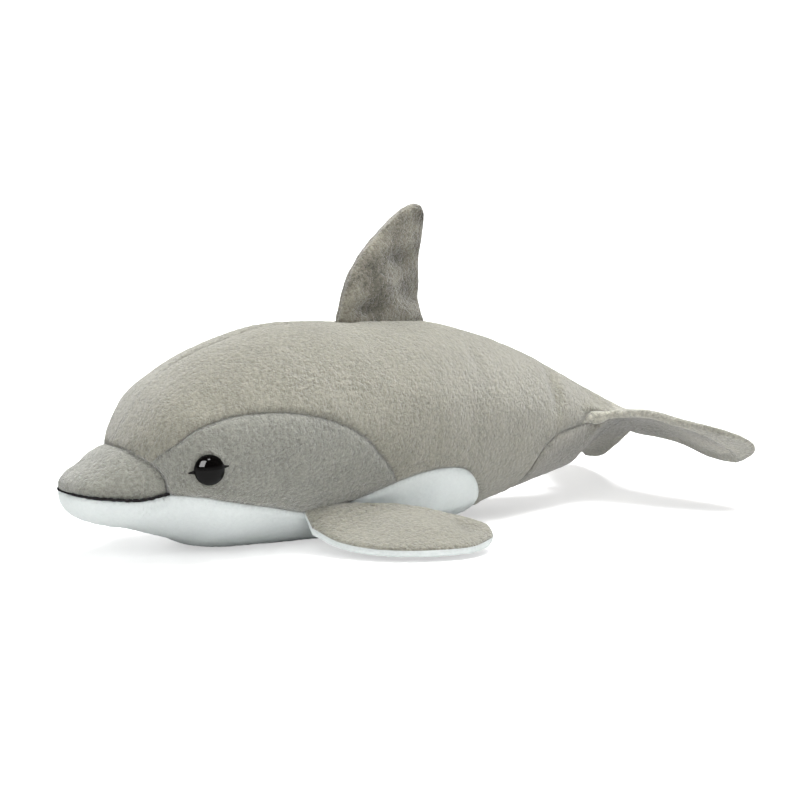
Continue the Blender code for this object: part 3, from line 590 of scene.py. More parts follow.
def piece(name, points, faces, finish, slot, *nodes, painted_shade_across_near=None):
    """A closed mesh in the row frame, from points in millimetres, which stands for some nodes of the model."""
    mesh = bpy.data.meshes.new(name)
    mesh.vertices.add(len(points))
    placed = (points - np.array((0, HALF_LENGTH, 0))) * METRE
    mesh.vertices.foreach_set("co", placed.astype(np.float32).ravel())
    mesh.loops.add(faces.size)
    mesh.loops.foreach_set("vertex_index", faces.astype(np.int32).ravel())
    mesh.polygons.add(len(faces))
    mesh.polygons.foreach_set("loop_start", np.arange(0, faces.size, faces.shape[1], dtype=np.int32))
    mesh.update(calc_edges=True)
    mesh.validate()
    # The attribute holds each point's painted shade, its place across the chart and its distance from the seam
    if painted_shade_across_near is not None:
        mesh.attributes.new("painted_shade_across_near", "FLOAT_VECTOR", "POINT").data.foreach_set("vector", painted_shade_across_near.astype(np.float32).ravel())
    mesh.materials.append(finish)
    mesh.shade_smooth()
    made = bpy.data.objects.new(name, mesh)
    bpy.context.scene.collection.objects.link(made)
    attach(made, "root")
    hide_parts(*nodes)
    return made


def sew(name, outline, surface, chart, finish, slot, node, spacing=CLOTH_STEP, roll=ROLL_IN, relief=None, hole=None,
        lumps=1.0, field=None, closed=None, soft=1.0, deepest=2.0, pucker=0.28, mirrored=False):
    """A piece of stuffed plush with a backing behind it, from an outline in a surface's two numbers.

    It is meshed evenly in its flat chart and cut finer twice, and has a hole of some (place, place, radius) there.
    It rolls in at its seams with small puckers, less so where closed is 1. Lumps, the swell of the stuffing (field,
    Lumps, the swell of the stuffing (field, softened) and a relief shape it, no deeper than deepest. A relief gives
    the rise, and may give with it a painted shade from 0 to 1; else its dents get painted shade by their depth. A
    mirrored chart is one that runs the other way round, seen from outside.
    """
    flat, named = chart
    ring = np.stack(flat(*np.array(outline, float).T), 1)
    ring = ring[np.linalg.norm(ring - np.roll(ring, 1, 0), axis=1) > 0.05]
    apart = 1.0 if closed is None else 1 - closed(*named(ring[:, 0], ring[:, 1]))[:, None]
    ring = ring + (drawn_in(ring) - ring) * apart
    low, high = ring.min(0), ring.max(0)
    rows = []
    for i, across in enumerate(np.arange(low[1], high[1], spacing * 0.866)):
        places = np.arange(low[0] + (i % 2) * spacing / 2, high[0], spacing)
        rows.append(np.column_stack([places, np.full(len(places), across)]))
    grid = np.vstack(rows)
    grid = grid[inside_with_room(grid, ring, spacing * 0.55)]
    extra, extra_edges = np.zeros((0, 2)), []
    if hole is not None:
        middle, radius = np.array(hole[:2]), hole[2]
        around = circle(EYE_HOLE_SIDES)
        extra = middle + radius * np.stack([np.cos(around), np.sin(around)], 1)
        grid = grid[np.linalg.norm(grid - middle, axis=1) > radius + spacing * 0.5]
        extra_edges = [(len(ring) + i, len(ring) + (i + 1) % EYE_HOLE_SIDES) for i in range(EYE_HOLE_SIDES)]
    coarse, _, faces, *_ = delaunay_2d_cdt([Vector(p) for p in [*ring, *extra, *grid]], extra_edges,
                                           [list(range(len(ring)))], 1, 1e-5)
    coarse, faces = np.array(coarse)[:, :2], np.array(faces)
    if hole is not None:
        faces = faces[np.linalg.norm(coarse[faces].mean(1) - middle, axis=1) > radius]
        used = np.unique(faces)
        renumber = np.full(len(coarse), -1)
        renumber[used] = np.arange(len(used))
        coarse, faces = coarse[used], renumber[faces]
    if mirrored:
        faces = faces[:, ::-1]
    count = len(coarse)
    fine, fine_faces = split(*split(coarse, faces))
    names = named(fine[:, 0], fine[:, 1])
    base = surface(*names)
    normal = vertex_normals(base, fine_faces)
    rim = rim_of(fine_faces)
    tree = tree_of(base, sorted(rim))
    near, nearest = np.empty(len(base)), np.empty(len(base), int)
    for i, point in enumerate(base):
        _, nearest[i], near[i] = tree.find(point)
    hold = 1.0 if closed is None else 1 - 0.75 * closed(names[0][nearest], names[1][nearest])
    rise = -roll * hold * hill(near, ROLL_WIDTH)
    rise += pucker * noise(base[nearest] / PUCKER_SIZE, 3) * np.exp(-near / PUCKER_REACH) * (1 - np.exp(-near / 0.8))
    rise += lumps * (1 - np.exp(-near / 5)) * sum(height * noise(base / size, seed) for size, height, seed in LUMPS)
    if field is not None:
        rise += soft * field(*names) * (1 - np.exp(-near / 2.5))
    # Painted shade for each point, 0 to 1: given by the relief, or else half the depth of its dents in millimetres
    painted_shade = np.zeros(len(base))
    if relief is not None:
        shaped = relief(*names, base, near)
        shaped, painted_shade = shaped if isinstance(shaped, tuple) else (shaped, np.clip(-shaped / 2, 0, 1))
        rise += shaped
    rise = np.maximum(rise, -deepest)
    stretched = np.column_stack([fine / PILE_SIZE, np.zeros(len(fine))])
    pile = sum(height * noise(stretched * fineness, seed) for fineness, height, seed in PILE)
    outer = base + normal * (rise + pile * (1 - 0.6 * np.exp(-near)))[:, None]
    outer[:, 2] = np.maximum(outer[:, 2], FLOOR_ROOM)
    inner = base[:count] + normal[:count] * (rise[:count] - BACKING)[:, None]
    inner[:, 2] = np.maximum(inner[:, 2], FLOOR_ROOM + BACKING * 0.9)
    walls = []
    for a, b in rim_of(faces).items():
        chain = [a]
        while chain[-1] != b:
            chain.append(rim[chain[-1]])
            if len(chain) > 12:
                raise ValueError(f"{name}: open rim")
        half = len(chain) // 2
        low_a, low_b = len(fine) + a, len(fine) + b
        walls += [(q, p, low_a) for p, q in zip(chain[:half], chain[1:half + 1])]
        walls += [(chain[half], low_a, low_b)]
        walls += [(q, p, low_b) for p, q in zip(chain[half:], chain[half + 1:])]
    mesh_faces = np.vstack([fine_faces, faces[:, ::-1] + len(fine), np.array(walls)])
    painted_shade_across_near = np.vstack([np.column_stack([painted_shade, fine[:, 1], near]),
                     np.column_stack([painted_shade[:count], coarse[:, 1], np.full(count, 9.0)])])
    piece(name, np.vstack([outer, inner]), mesh_faces, finish, slot, node, painted_shade_across_near=painted_shade_across_near)


# Materials

class Tree:
    """A node tree, with a short way to add each kind of node that is used here."""

    def __init__(self, tree):
        self.nodes, self.links = tree.nodes, tree.links

    def feed(self, socket, value):
        """Link an output to a socket, or set the socket to a value."""
        if isinstance(value, bpy.types.NodeSocket):
            self.links.new(value, socket)
        else:
            socket.default_value = value

    def add(self, kind, **sockets):
        """A new node. A socket is named by its number, as in i0, or by its name with lines for blanks."""
        made = self.nodes.new(kind)
        for word, value in sockets.items():
            self.feed(made.inputs[int(word[1:]) if word[1:].isdigit() else word.replace("_", " ")], value)
        return made

    def math(self, kind, *values):
        made = self.nodes.new("ShaderNodeMath")
        made.operation = kind
        for socket, value in zip(made.inputs, values):
            self.feed(socket, value)
        return made.outputs[0]

    def ranged(self, value, low, high, to_low, to_high):
        made = self.add("ShaderNodeMapRange", Value=value, From_Min=low, From_Max=high, To_Min=to_low, To_Max=to_high)
        return made.outputs["Result"]

    def noise(self, scale, detail, rough, stretch=(1, 1, 1)):
        place = self.add("ShaderNodeTexCoord").outputs["Object"]
        place = self.add("ShaderNodeMapping", Vector=place, Scale=stretch).outputs["Vector"]
        made = self.add("ShaderNodeTexNoise", Vector=place, Scale=scale, Detail=detail, Roughness=rough)
        return made.outputs["Fac"]

    def seen(self):
        """1 for rays that see a thing, straight, in a gloss or through something clear, and 0 for its light."""
        rays = self.add("ShaderNodeLightPath").outputs
        seen = self.math("MAXIMUM", rays["Is Camera Ray"], rays["Is Glossy Ray"])
        return self.math("MAXIMUM", seen, rays["Is Transmission Ray"])


def finish_of(name, **sockets):
    """A new material, its tree and its shader, with some of the shader's sockets set."""
    made = bpy.data.materials.new(name)
    made.use_nodes = True
    tree, shader = Tree(made.node_tree), made.node_tree.nodes["Principled BSDF"]
    for word, value in sockets.items():
        tree.feed(shader.inputs[word.replace("_", " ")], value)
    return made, tree, shader


def dress(tree, shader, colour, shade, height, strength, distance):
    """Give a shader its colour times a shade, and a fine relief of that distance in millimetres."""
    tinted = tree.add("ShaderNodeVectorMath", i0=colour)
    tinted.operation = "SCALE"
    tree.feed(tinted.inputs["Scale"], shade)
    tree.feed(shader.inputs["Base Color"], tinted.outputs["Vector"])
    relief = tree.add("ShaderNodeBump", Strength=strength, Distance=distance * METRE, Height=height)
    tree.feed(shader.inputs["Normal"], relief.outputs["Normal"])


def plush(name, colour, tuft=0.25, patch=0.06, patch_scale=62.0, sheen=0.85, bump=1.0, seam_shade=0.22, dent_shade=0.2,
          rim=0.0, edge=None):
    """Short pile: curled tufts, fine fibres, lighter and darker brushed patches, painted shade along the seams and in
    dents, and with rim a painted light close to the seams. With edge, a piece is lighter on one side, as (place across
    that is dark, place that is light, share)."""
    made, tree, shader = finish_of(name, Roughness=0.95, Specular_IOR_Level=0.1, Sheen_Weight=sheen,
                                   Sheen_Roughness=0.4, Sheen_Tint=(1, 1, 1, 1))
    # Each point's painted shade, place across the chart and distance from the seam
    painted_shade_across_near = tree.add("ShaderNodeAttribute")
    painted_shade_across_near.attribute_name = "painted_shade_across_near"
    painted_shade, across, near = tree.add("ShaderNodeSeparateXYZ", i0=painted_shade_across_near.outputs["Vector"]).outputs
    tufts = tree.noise(820.0, 2.5, 0.65, (1.0, 0.85, 1.0))
    fibres = tree.noise(2300.0, 2.0, 0.65, (1.1, 0.8, 1.1))
    shade = tree.math("ADD", 1.0, tree.ranged(tufts, 0.3, 0.7, -tuft, tuft))
    shade = tree.math("ADD", shade, tree.ranged(fibres, 0.3, 0.7, -tuft * 0.7, tuft * 0.7))
    shade = tree.math("ADD", shade, tree.ranged(tree.noise(patch_scale, 1.5, 0.5), 0.25, 0.75, -patch, patch))
    # Painted shade: darker within about 1.5 mm of a seam, and darker in dents by the point's painted shade
    apart = tree.math("ADD", near, tree.ranged(tufts, 0.3, 0.7, -0.6, 0.6))
    factors = [tree.math("SUBTRACT", 1.0, tree.ranged(apart, 0.0, 1.5, seam_shade, 0.0)),
               tree.ranged(painted_shade, 0, 1, 1, 1 - dent_shade)]
    # Painted light: lighter within 2 mm of a seam, fading out by 8 mm
    if rim:
        factors.append(tree.ranged(near, 2.0, 8.0, 1 + rim, 1.0))
    if edge is not None:
        factors.append(tree.ranged(tree.math("ABSOLUTE", across), edge[0], edge[1], 1.0, 1.0 + edge[2]))
    for factor in factors:
        shade = tree.math("MULTIPLY", shade, factor)
    height = tree.math("ADD", tree.math("MULTIPLY", tufts, 0.65), tree.math("MULTIPLY", fibres, 0.35))
    dress(tree, shader, colour, shade, height, bump, 2.3)
    return made


def plain(name, colour, roughness, scale, change, bump, distance, stretch=(1, 1, 1), ior=1.5, gloss=0.5):
    """A plain finish with fine irregularity of colour, gloss and surface."""
    made, tree, shader = finish_of(name, Specular_IOR_Level=gloss, IOR=ior)
    grain = tree.noise(scale, 3.0, 0.6, stretch)
    tree.feed(shader.inputs["Roughness"],
              tree.ranged(grain, 0.25, 0.75, roughness * 0.85, min(1, roughness * 1.15)))
    dress(tree, shader, colour, tree.ranged(grain, 0.25, 0.75, 1 - change, 1 + change), grain, bump, distance)
    return made


# Each plush below is painted darker along its seams and in its dents, a painted shade; the white one along its seams
# only
grey_plush = plush("grey_plush", (0.381, 0.368, 0.298))
beak_plush = plush("beak_plush", (0.35, 0.35, 0.3))
cheek_plush = plush("cheek_plush", (0.352, 0.352, 0.306))
# Painted shade: the fin is a darker copy of the grey, with more painted shade in its dents; it is lighter along its
# front edge
fin_plush_painted_shade = plush("fin_plush_painted_shade", (0.236, 0.222, 0.177), tuft=0.38, patch=0.42, patch_scale=105.0, dent_shade=0.35,
                  edge=(15.0, 3.0, 0.5))
# Painted light: the fluke's top is a lighter copy of the grey, lighter still close to its seams
tail_plush_painted_light = plush("tail_plush_painted_light", (0.46, 0.448, 0.38), patch=0.08, rim=0.28)
# Painted shade: the fluke's underside is a darker copy of the grey, darkest near the middle, lighter towards the lobe
# tips, and darker behind the lobes' front edge
under_plush_painted_shade = plush("under_plush_painted_shade", (0.3, 0.288, 0.245), patch=0.1, dent_shade=0.5, edge=(20.0, 50.0, 1.0))
white_plush = plush("white_plush", (0.79, 0.835, 0.822), tuft=0.02, patch=0.02, sheen=0.15, bump=0.2, seam_shade=0.12,
                    dent_shade=0)
eye_plastic = plain("eye_plastic", (0.003, 0.0026, 0.0024), 0.04, 900, 0.1, 0.02, 0.02, ior=1.2)
black_thread = plain("black_thread", (0.011, 0.01, 0.01), 0.7, 2500, 0.35, 0.5, 0.15, gloss=0.06)
fibre = plain("polyester_fibre", (0.85, 0.85, 0.82), 0.95, 600, 0.08, 0.6, 0.6, (1, 1, 3))
washer_plastic = plain("washer_plastic", (0.75, 0.75, 0.72), 0.4, 1500, 0.05, 0.15, 0.05)
label_ribbon = plain("label_ribbon", (0.6, 0.6, 0.59), 0.55, 2600, 0.06, 0.5, 0.12, (1, 1, 3))


# Stuffing

def blown_up(start, faces, pins):
    """How far each point of a closed fabric skin moves when it is stuffed from inside and held at its seams."""
    mesh = bpy.data.meshes.new("stuffing")
    mesh.from_pydata((start * METRE).tolist(), [], faces)
    made = bpy.data.objects.new("stuffing", mesh)
    bpy.context.scene.collection.objects.link(made)
    made.vertex_groups.new(name="seams").add([int(i) for i in pins], 1.0, "REPLACE")
    cloth = made.modifiers.new("stuffing", "CLOTH")
    for word, value in dict(quality=6, mass=0.3, tension_stiffness=25, compression_stiffness=25, shear_stiffness=8,
                            bending_stiffness=0.4, use_pressure=True, uniform_pressure_force=4.0,
                            vertex_group_mass="seams", shrink_min=-0.05).items():
        setattr(cloth.settings, word, value)
    cloth.settings.effector_weights.gravity = 0
    cloth.collision_settings.use_collision = False
    cloth.point_cache.frame_start = 1
    cloth.point_cache.frame_end = STUFFING_FRAMES
    for step in range(1, STUFFING_FRAMES + 1):
        bpy.context.scene.frame_set(step)
    after = made.evaluated_get(bpy.context.evaluated_depsgraph_get()).data
    moved = np.empty(len(start) * 3)
    after.vertices.foreach_get("co", moved)
    bpy.data.objects.remove(made)
    bpy.data.meshes.remove(mesh)
    bpy.context.scene.frame_set(1)
    return moved.reshape(-1, 3) / METRE - start


def stuffed(base, seam_places, held):
    """The swell of a grid of points round a stuffed piece, rows along it and columns round it, in millimetres."""
    rows, columns = base.shape[:2]
    flat = base.reshape(-1, 3)
    quads = quads_round(rows, columns)
    normal = vertex_normals(flat, np.array(halved(quads)))
    outward = np.sign(np.sum(normal * (base - base.mean(axis=1, keepdims=True)).reshape(-1, 3)))
    normal *= outward
    faces = [*quads, tuple(range(columns))[::-1], tuple(range((rows - 1) * columns, rows * columns))]
    if outward < 0:
        faces = [face[::-1] for face in faces]
    tree = tree_of(flat, range(len(flat)))
    pins = {tree.find(p)[1] for p in seam_places} | set(np.nonzero(held.ravel())[0])
    out = np.sum(blown_up(flat - normal * START_SMALLER, faces, pins) * normal, axis=1)
    loose = np.ones(len(flat), bool)
    loose[list(pins)] = False
    middle = np.median(out[loose])
    spread = max(np.percentile(np.abs(out[loose] - middle), 85), 0.2)
    swell = np.clip((out - middle) * min(1.0, SWELL_CAP * 0.6 / spread), -SWELL_CAP, SWELL_CAP)
    swell = np.where(loose, swell, np.minimum(swell, 0)).reshape(rows, columns)
    for _ in range(2):
        wide = (np.roll(swell, 1, 1) + np.roll(swell, -1, 1) + 2 * swell) / 4
        long = np.vstack([wide[:1], wide, wide[-1:]])
        swell = (long[:-2] + long[2:] + 2 * wide) / 4
    return swell


def on_grid(table, row, column):
    """A value of a table that closes round its columns."""
    rows, columns = table.shape
    row = np.clip(row, 0, rows - 1.001)
    i, t = row.astype(int), row - row.astype(int)
    j = np.floor(column).astype(int)
    u = column - j
    return between(table, i, t, j % columns, (j + 1) % columns, u)


def body_swell():
    """The stuffed body's swell at any point of the skin."""
    places = np.array([1.5, 4, 7, *np.arange(10, SKIN_END, 3.3)])
    shares = np.arange(BODY_COLUMNS) / BODY_COLUMNS * 2 - 1
    fold = looked_up(fold_at, np.repeat(places, BODY_COLUMNS), np.tile(np.abs(shares), len(places)))
    angles = fold.reshape(len(places), BODY_COLUMNS) * np.where(shares < 0, -1, 1)
    lines = [BEAK_SIDE_SEAM, BEAK_ARCH_SEAM, CHEEK_SEAM, BELLY_SEAM_FRONT, BELLY_SEAM_REAR, GUSSET_SEAM, TAIL_SEAM,
             [(0.5, 90), MOUTH_CORNER]]
    marks = [m for points in lines for m in seam(points, 1.0)]
    marks = np.array(marks + [(s, -a) for s, a in marks] + seam([BELLY_END, GUSSET_TIP], 1.0))
    held = np.repeat((places > 246)[:, None], BODY_COLUMNS, 1)
    table = stuffed(skin(places[:, None], angles), skin(marks[:, 0], marks[:, 1]), held)

    def field(s, angle):
        turn = signed(angle)
        share = looked_up(girth_share, s, np.abs(turn) / 180) * np.where(turn < 0, -1, 1)
        return on_grid(table, np.interp(s, places, np.arange(len(places))), (share + 1) / 2 * BODY_COLUMNS)
    return field


def limb_swell(surface):
    """A stuffed limb's swell at any point of its surface."""
    places, turns = np.linspace(0, 1, LIMB_ROWS), np.arange(LIMB_COLUMNS) * 360.0 / LIMB_COLUMNS
    base = surface(places[:, None], np.where(turns > 180, turns - 360, turns)[None, :])
    edges = np.linspace(0, 1, 60)
    marks = np.vstack([surface(edges, 0.0 * edges), surface(edges, 180 + 0.0 * edges)])
    table = stuffed(base, marks, np.repeat((places < 0.03)[:, None], LIMB_COLUMNS, 1))

    def field(u, turn):
        return on_grid(table, np.asarray(u) * (LIMB_ROWS - 1), (np.asarray(turn) % 360) / 360 * LIMB_COLUMNS)
    return field


# Body fabric

def mouth_closed(s, angle):
    """1 at the mouth and on the beak's seams, where the fabric's edges stay close, and 0 elsewhere."""
    return 1 - smooth_step(s, 30, 38)


def face_closed(s, angle):
    """1 at the beak's seams and along the middle of the back, where the pile hides the seam."""
    return np.maximum(1 - smooth_step(s, 30, 38), 0.75 * smooth_step(np.abs(signed(angle)), 172, 178))


def trailing_closed(s, angle):
    """1 along the fluke's trailing edge and at its tips, where both panels meet closely."""
    return smooth_step(s, 266, 275)


def round_the_eye(s, angle, base, near):
    """The pile stands up round the eye's rim."""
    rise = 0
    for way in (1, -1):
        reach = np.linalg.norm(base - skin(EYE_PLACE[0], EYE_PLACE[1] * way), axis=1)
        rise = rise + EYE_RUFF * hill(reach - EYE_RADIUS - 0.4, 1.6) * (reach > 3)
    return rise


def back_relief(s, angle, base, near):
    """Soft folds of the stuffed back, deeper on the left: one ahead of the tail, a shallow dent in the flank."""
    turn = signed(angle)
    fold = np.abs(turn)
    behind = s - 222.0 - 0.05 * (fold - 130)
    tail_fold = hill(behind, 3.2) * hill(fold - 128, 26)
    beside = hill(behind - 7, 5.5) * hill(fold - 128, 30)
    dent = hill(s - 176, 3.5) * hill(fold - 134, 14)
    return np.where(turn > 0, -1.9 * tail_fold + 1.0 * beside - 0.9 * dent, -0.9 * tail_fold - 0.4 * dent)


def fluke_recess(s, angle, base, near):
    """The underside lies sunk behind the rolled front edge of the lobes, with painted shade close behind that edge."""
    wide = np.abs(base[:, 0])
    lobe = smooth_step(s, 246, 258)
    depth = 0.3 + 0.7 * smooth_step(wide, 14, 26) + 0.6 * hill(wide - 24, 12)
    # Painted shade: full within 3 mm behind the lobes' front edge, gone 13 mm behind it
    behind = 1 - smooth_step(s - lobe_edge(wide), 3.0, 13.0)
    return -RECESS * lobe * smooth_step(near, 0.2, 2.2) * depth, behind * lobe


def body_fabric():
    swell = body_swell()
    back, belly = body_chart(True), body_chart(False)
    mouth = even([(s, 90.0) for s in [*(np.linspace(0, 1, 60) ** 2 * 8), *np.linspace(8.2, MOUTH_CORNER[0], 60)]])
    side, arch, cheek = line(BEAK_SIDE_SEAM), line(BEAK_ARCH_SEAM), line(CHEEK_SEAM)
    belly_front, belly_rear = line(BELLY_SEAM_FRONT), line(BELLY_SEAM_REAR)
    gusset, tail = line(GUSSET_SEAM), line(TAIL_SEAM)
    back_line, under_line = line([BEAK_SEAM_TOP, TAIL_TOP]), line([BELLY_END, GUSSET_TIP])
    edge = even([(s, 90 - EDGE_DROP * smooth_step(s, 241, 256)) for s in np.linspace(TAIL_SIDE[0], SKIN_END, 160)])
    trailing = even([(SKIN_END, a) for a in np.linspace(90 - EDGE_DROP, 180, 400)])
    trailing_under = even([(SKIN_END, a) for a in np.linspace(90 - EDGE_DROP, 0, 300)])

    half = mouth[1:] + side[::-1][1:] + arch[::-1][1:]
    sew("beak_top_plush", [mouth[0]] + half + opposite(half)[1:], with_lips(1), back, beak_plush, "cheek_plush",
        "beak_top", spacing=2.2, lumps=0.4, closed=mouth_closed)
    lower = mouth[1:] + belly_front[1:] + belly_rear[1:]
    sew("belly_plush", [mouth[0]] + lower + opposite(lower)[1:], with_lips(-1), belly, white_plush, "white_plush",
        "belly_panel", closed=mouth_closed, field=swell, soft=0.3, lumps=0.5)
    cheek_outline = cheek + belly_front[::-1][1:] + side[::-1][1:-1]
    back_outline = arch + cheek[1:] + belly_rear[1:] + under_line[1:] + gusset[1:] + tail[1:] + back_line[::-1][1:-1]
    for word, way in (("left", 1), ("right", -1)):
        cheek_ring, back_ring = [o if way > 0 else opposite(o) for o in (cheek_outline, back_outline)]
        eye_place = belly[0](np.array(EYE_PLACE[0]), np.array(EYE_PLACE[1] * way))
        sew(f"cheek_plush_{word}", cheek_ring, skin, belly, cheek_plush, "cheek_plush", f"cheek_panel_{word}",
            hole=(*eye_place, EYE_HOLE_RADIUS), spacing=2.6, closed=face_closed, field=swell, soft=0.5,
            relief=round_the_eye)
        sew(f"back_plush_{word}", back_ring, skin, back, grey_plush, "grey_plush", f"back_panel_{word}",
            closed=face_closed, field=swell, soft=0.6, relief=back_relief)
    upper_half = tail[::-1] + edge[1:] + trailing[1:]
    other = [(s, 360 - a) for s, a in upper_half[::-1]]
    sew("fluke_plush_top", upper_half + other[1:-1], skin, back, tail_plush_painted_light, "grey_plush", "fluke_top", lumps=0.7,
        closed=trailing_closed)
    under_half = gusset + edge[1:] + trailing_under[1:]
    sew("fluke_plush_underside", under_half + opposite(under_half)[1:-1], skin, belly, under_plush_painted_shade, "grey_plush",
        "fluke_underside", lumps=0.7, relief=fluke_recess, deepest=1.9, closed=trailing_closed)


# Fabric of the limbs

def limb_outline(surface, first, last):
    """Round a limb's face: along its front edge, over the tip, back along the rear edge and across the root."""
    up = even([(u, first) for u in np.linspace(0, 1, 120)], surface)
    tip = even([(1.0, a) for a in np.linspace(first, last, 60)], surface)
    down = even([(u, last) for u in np.linspace(1, 0, 120)], surface)
    root = even([(0.0, a) for a in np.linspace(last, first, 60)], surface)
    return up + tip[1:] + down[1:] + root[1:-1]


def forms(place, table, side=1):
    """The dimples and swells of a table, at places across and along a face."""
    return sum(rise * np.exp(-np.sum(((place - (x * side, y)) / (wide, long)) ** 2, axis=1))
               for x, y, rise, wide, long in table)


def fin_relief(v, turn, base, near):
    return forms(base[:, 1:] - (0, FIN_BACK_HEIGHT), FIN_FORMS)


def flipper_relief(u, turn, base, near):
    return forms(base[:, :2], FLIPPER_FORMS, np.sign(base[:, 0].mean()))


def fins_and_flippers():
    chart, swell = limb_chart(50, 0.22), limb_swell(fin_surface)
    for word, way in (("left", 1), ("right", -1)):
        sew(f"dorsal_fin_plush_{word}", limb_outline(fin_surface, 0.0, 180.0 * way), fin_surface, chart, fin_plush_painted_shade,
            "grey_plush", f"dorsal_fin_{word}", spacing=2.4, lumps=0.5, roll=LIMB_ROLL, relief=fin_relief,
            field=swell, deepest=1.9, pucker=0.12, mirrored=True)
    chart, swell = limb_chart(78, 0.2), limb_swell(flipper_surface)
    for word, way in (("left", 1), ("right", -1)):
        def surface(u, turn, way=way):
            return flipper_surface(u, turn, way)
        for face, last, finish, slot, lumps, relief, soft, deepest in (
                ("top", 180.0, grey_plush, "grey_plush", 0.8, flipper_relief, 0.7, 1.7),
                ("underside", -180.0, white_plush, "white_plush", 0.6, None, 0.4, 2.0)):
            sew(f"flipper_plush_{face}_{word}", limb_outline(surface, FLIPPER_SEAM_TURN, last), surface, chart, finish,
                slot, f"flipper_{face}_{word}", spacing=2.4, lumps=lumps, roll=LIMB_ROLL, relief=relief, field=swell,
                soft=soft, deepest=deepest, mirrored=way < 0)


# Eyes, stitching and label

def eyes():
    dome = [(EYE_RADIUS * math.cos(t), EYE_LIFT + EYE_SEAT + (EYE_HEIGHT - EYE_SEAT) * math.sin(t))
            for t in np.radians(np.arange(0, 90, 3.0))]
    skirt = [(EYE_RADIUS - 0.5, EYE_LIFT), (EYE_RADIUS - 0.15, EYE_LIFT + 0.08), (EYE_RADIUS, EYE_LIFT + 0.3)]
    profile = [(0, -STEM_LENGTH), (STEM_RADIUS * 0.7, -STEM_LENGTH), (STEM_RADIUS, 1 - STEM_LENGTH),
               (STEM_RADIUS, EYE_LIFT - 0.05), *skirt, *dome, (0, EYE_LIFT + EYE_HEIGHT)]
    for word, way in (("left", 1), ("right", -1)):
        place = skin_frame(EYE_PLACE[0], EYE_PLACE[1] * way, CORNER_TILT * way)
        piece(f"eye_dome_{word}", *turned(profile, place), eye_plastic, "eye_plastic", f"eye_{word}")
        stitches = []
        turn, shift = np.array(place.to_3x3()), np.array(place.translation)
        for i, x in enumerate(np.arange(0.2 - CORNER_HALF_LENGTH, CORNER_HALF_LENGTH, CORNER_STITCH_STEP)):
            height = CORNER_HALF_HEIGHT * max(1 - abs(x) / CORNER_HALF_LENGTH, 0) ** 1.3 + CORNER_END_HEIGHT
            y = np.linspace(-height, height, 9)
            bow = 1 - (y / height) ** 2
            level = 0.85 + 0.5 * bow ** 0.5 - x * x / 90 + 0.05 * math.sin(i * 2.4)
            path = np.stack([x + 0.12 * y / height + 0.03 * math.sin(i * 1.7), y, level], 1)
            stitches.append(tube(path @ turn.T + shift, CORNER_THREAD_RADIUS * (0.55 + 0.45 * bow ** 0.4), 6,
                                 up=turn[:, 0]))
        piece(f"eye_stitching_{word}", *joined(stitches), black_thread, "black_thread", f"eye_line_{word}")


def mouth():
    run = np.concatenate([np.linspace(MOUTH_CORNER[0] + 0.6, 4, 44), 4 * np.linspace(1, 0, 16)[1:] ** 2])
    out = 0.5 * smooth_step(run, MOUTH_IN, MOUTH_OUT) - 0.35 * (1 - smooth_step(run, 0, MOUTH_IN))
    left = np.array([skin(s, 90) + (skin_normal(s, 90) * rise if s > 0.6 else (0, 0.6, 0))
                     for s, rise in zip(run, out)])
    path = np.vstack([left, (left * (-1, 1, 1))[-2::-1]])
    length = run_along(path)
    at = np.linspace(0, length[-1], round(length[-1] / 0.22))
    path = np.stack([np.interp(at, length, path[:, k]) for k in range(3)], 1)
    path[:, 2] += 0.12 * np.sin(at * 1.9) * np.sin(at * 0.63)
    stitch = np.abs(((at / MOUTH_STITCH) % 1) - 0.5) * 2
    radius = MOUTH_RADIUS * (1.14 - 0.28 * stitch ** 4) * np.minimum(1, 0.35 + np.minimum(at, at[-1] - at) / 0.9)
    piece("mouth_stitching", *tube(path, radius, 14, lobes=3, pitch=2.2), black_thread, "black_thread",
          "mouth_thread")


def label():
    """A plain woven ribbon folded in two, its ends in the seam."""
    long = LABEL_LENGTH
    down = [(0.17 + 0.1 * math.sin(t * 3.1), -t * long) for t in np.linspace(0, 0.97, 24)]
    fold = [(0.17 * math.cos(t), -0.97 * long - 0.3 * math.sin(t)) for t in np.linspace(0.3, math.pi - 0.3, 7)]
    path = np.array(down + fold + [(-x, z) for x, z in down[::-1]])
    ahead = unit(np.gradient(path, axis=0))
    side = np.stack([ahead[:, 1], -ahead[:, 0]], 1) * LABEL_HALF_THICKNESS
    section = np.vstack([path + side, (path - side)[::-1]])
    rings = [np.column_stack([np.full(len(section), w), section[:, 0] + 0.55 * math.cos(w * 0.35)
                              * (-section[:, 1] / long) ** 2, section[:, 1]])
             for w in np.linspace(-LABEL_WIDTH / 2, LABEL_WIDTH / 2, 25)]
    sides = len(section)
    faces = halved(quads_round(len(rings), sides))
    for start, flip in ((0, 1), ((len(rings) - 1) * sides, -1)):
        for j in range(sides // 2 - 1):
            a, b, c, d = start + j, start + j + 1, start + sides - 2 - j, start + sides - 1 - j
            faces += [(a, c, b)[::flip], (a, d, c)[::flip]]
    turn = Matrix.Rotation(math.radians(LABEL_TURN), 3, "Z") @ Matrix.Rotation(math.radians(LABEL_LEAN), 3, "X")
    points = np.vstack(rings) @ np.array(turn).T + LABEL_TOP
    piece("label_ribbon", points, np.array(faces), label_ribbon, "label_ribbon", "label")


body_fabric()
fins_and_flippers()
eyes()
mouth()
label()

# What lies inside
for node, finish in (("body_filling", fibre), ("dorsal_fin_filling", fibre), ("flipper_filling_left", fibre),
                     ("flipper_filling_right", fibre), ("eye_washer_left", washer_plastic),
                     ("eye_washer_right", washer_plastic)):
    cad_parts[node].data.materials.clear()
    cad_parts[node].data.materials.append(finish)


# Floor, light and camera

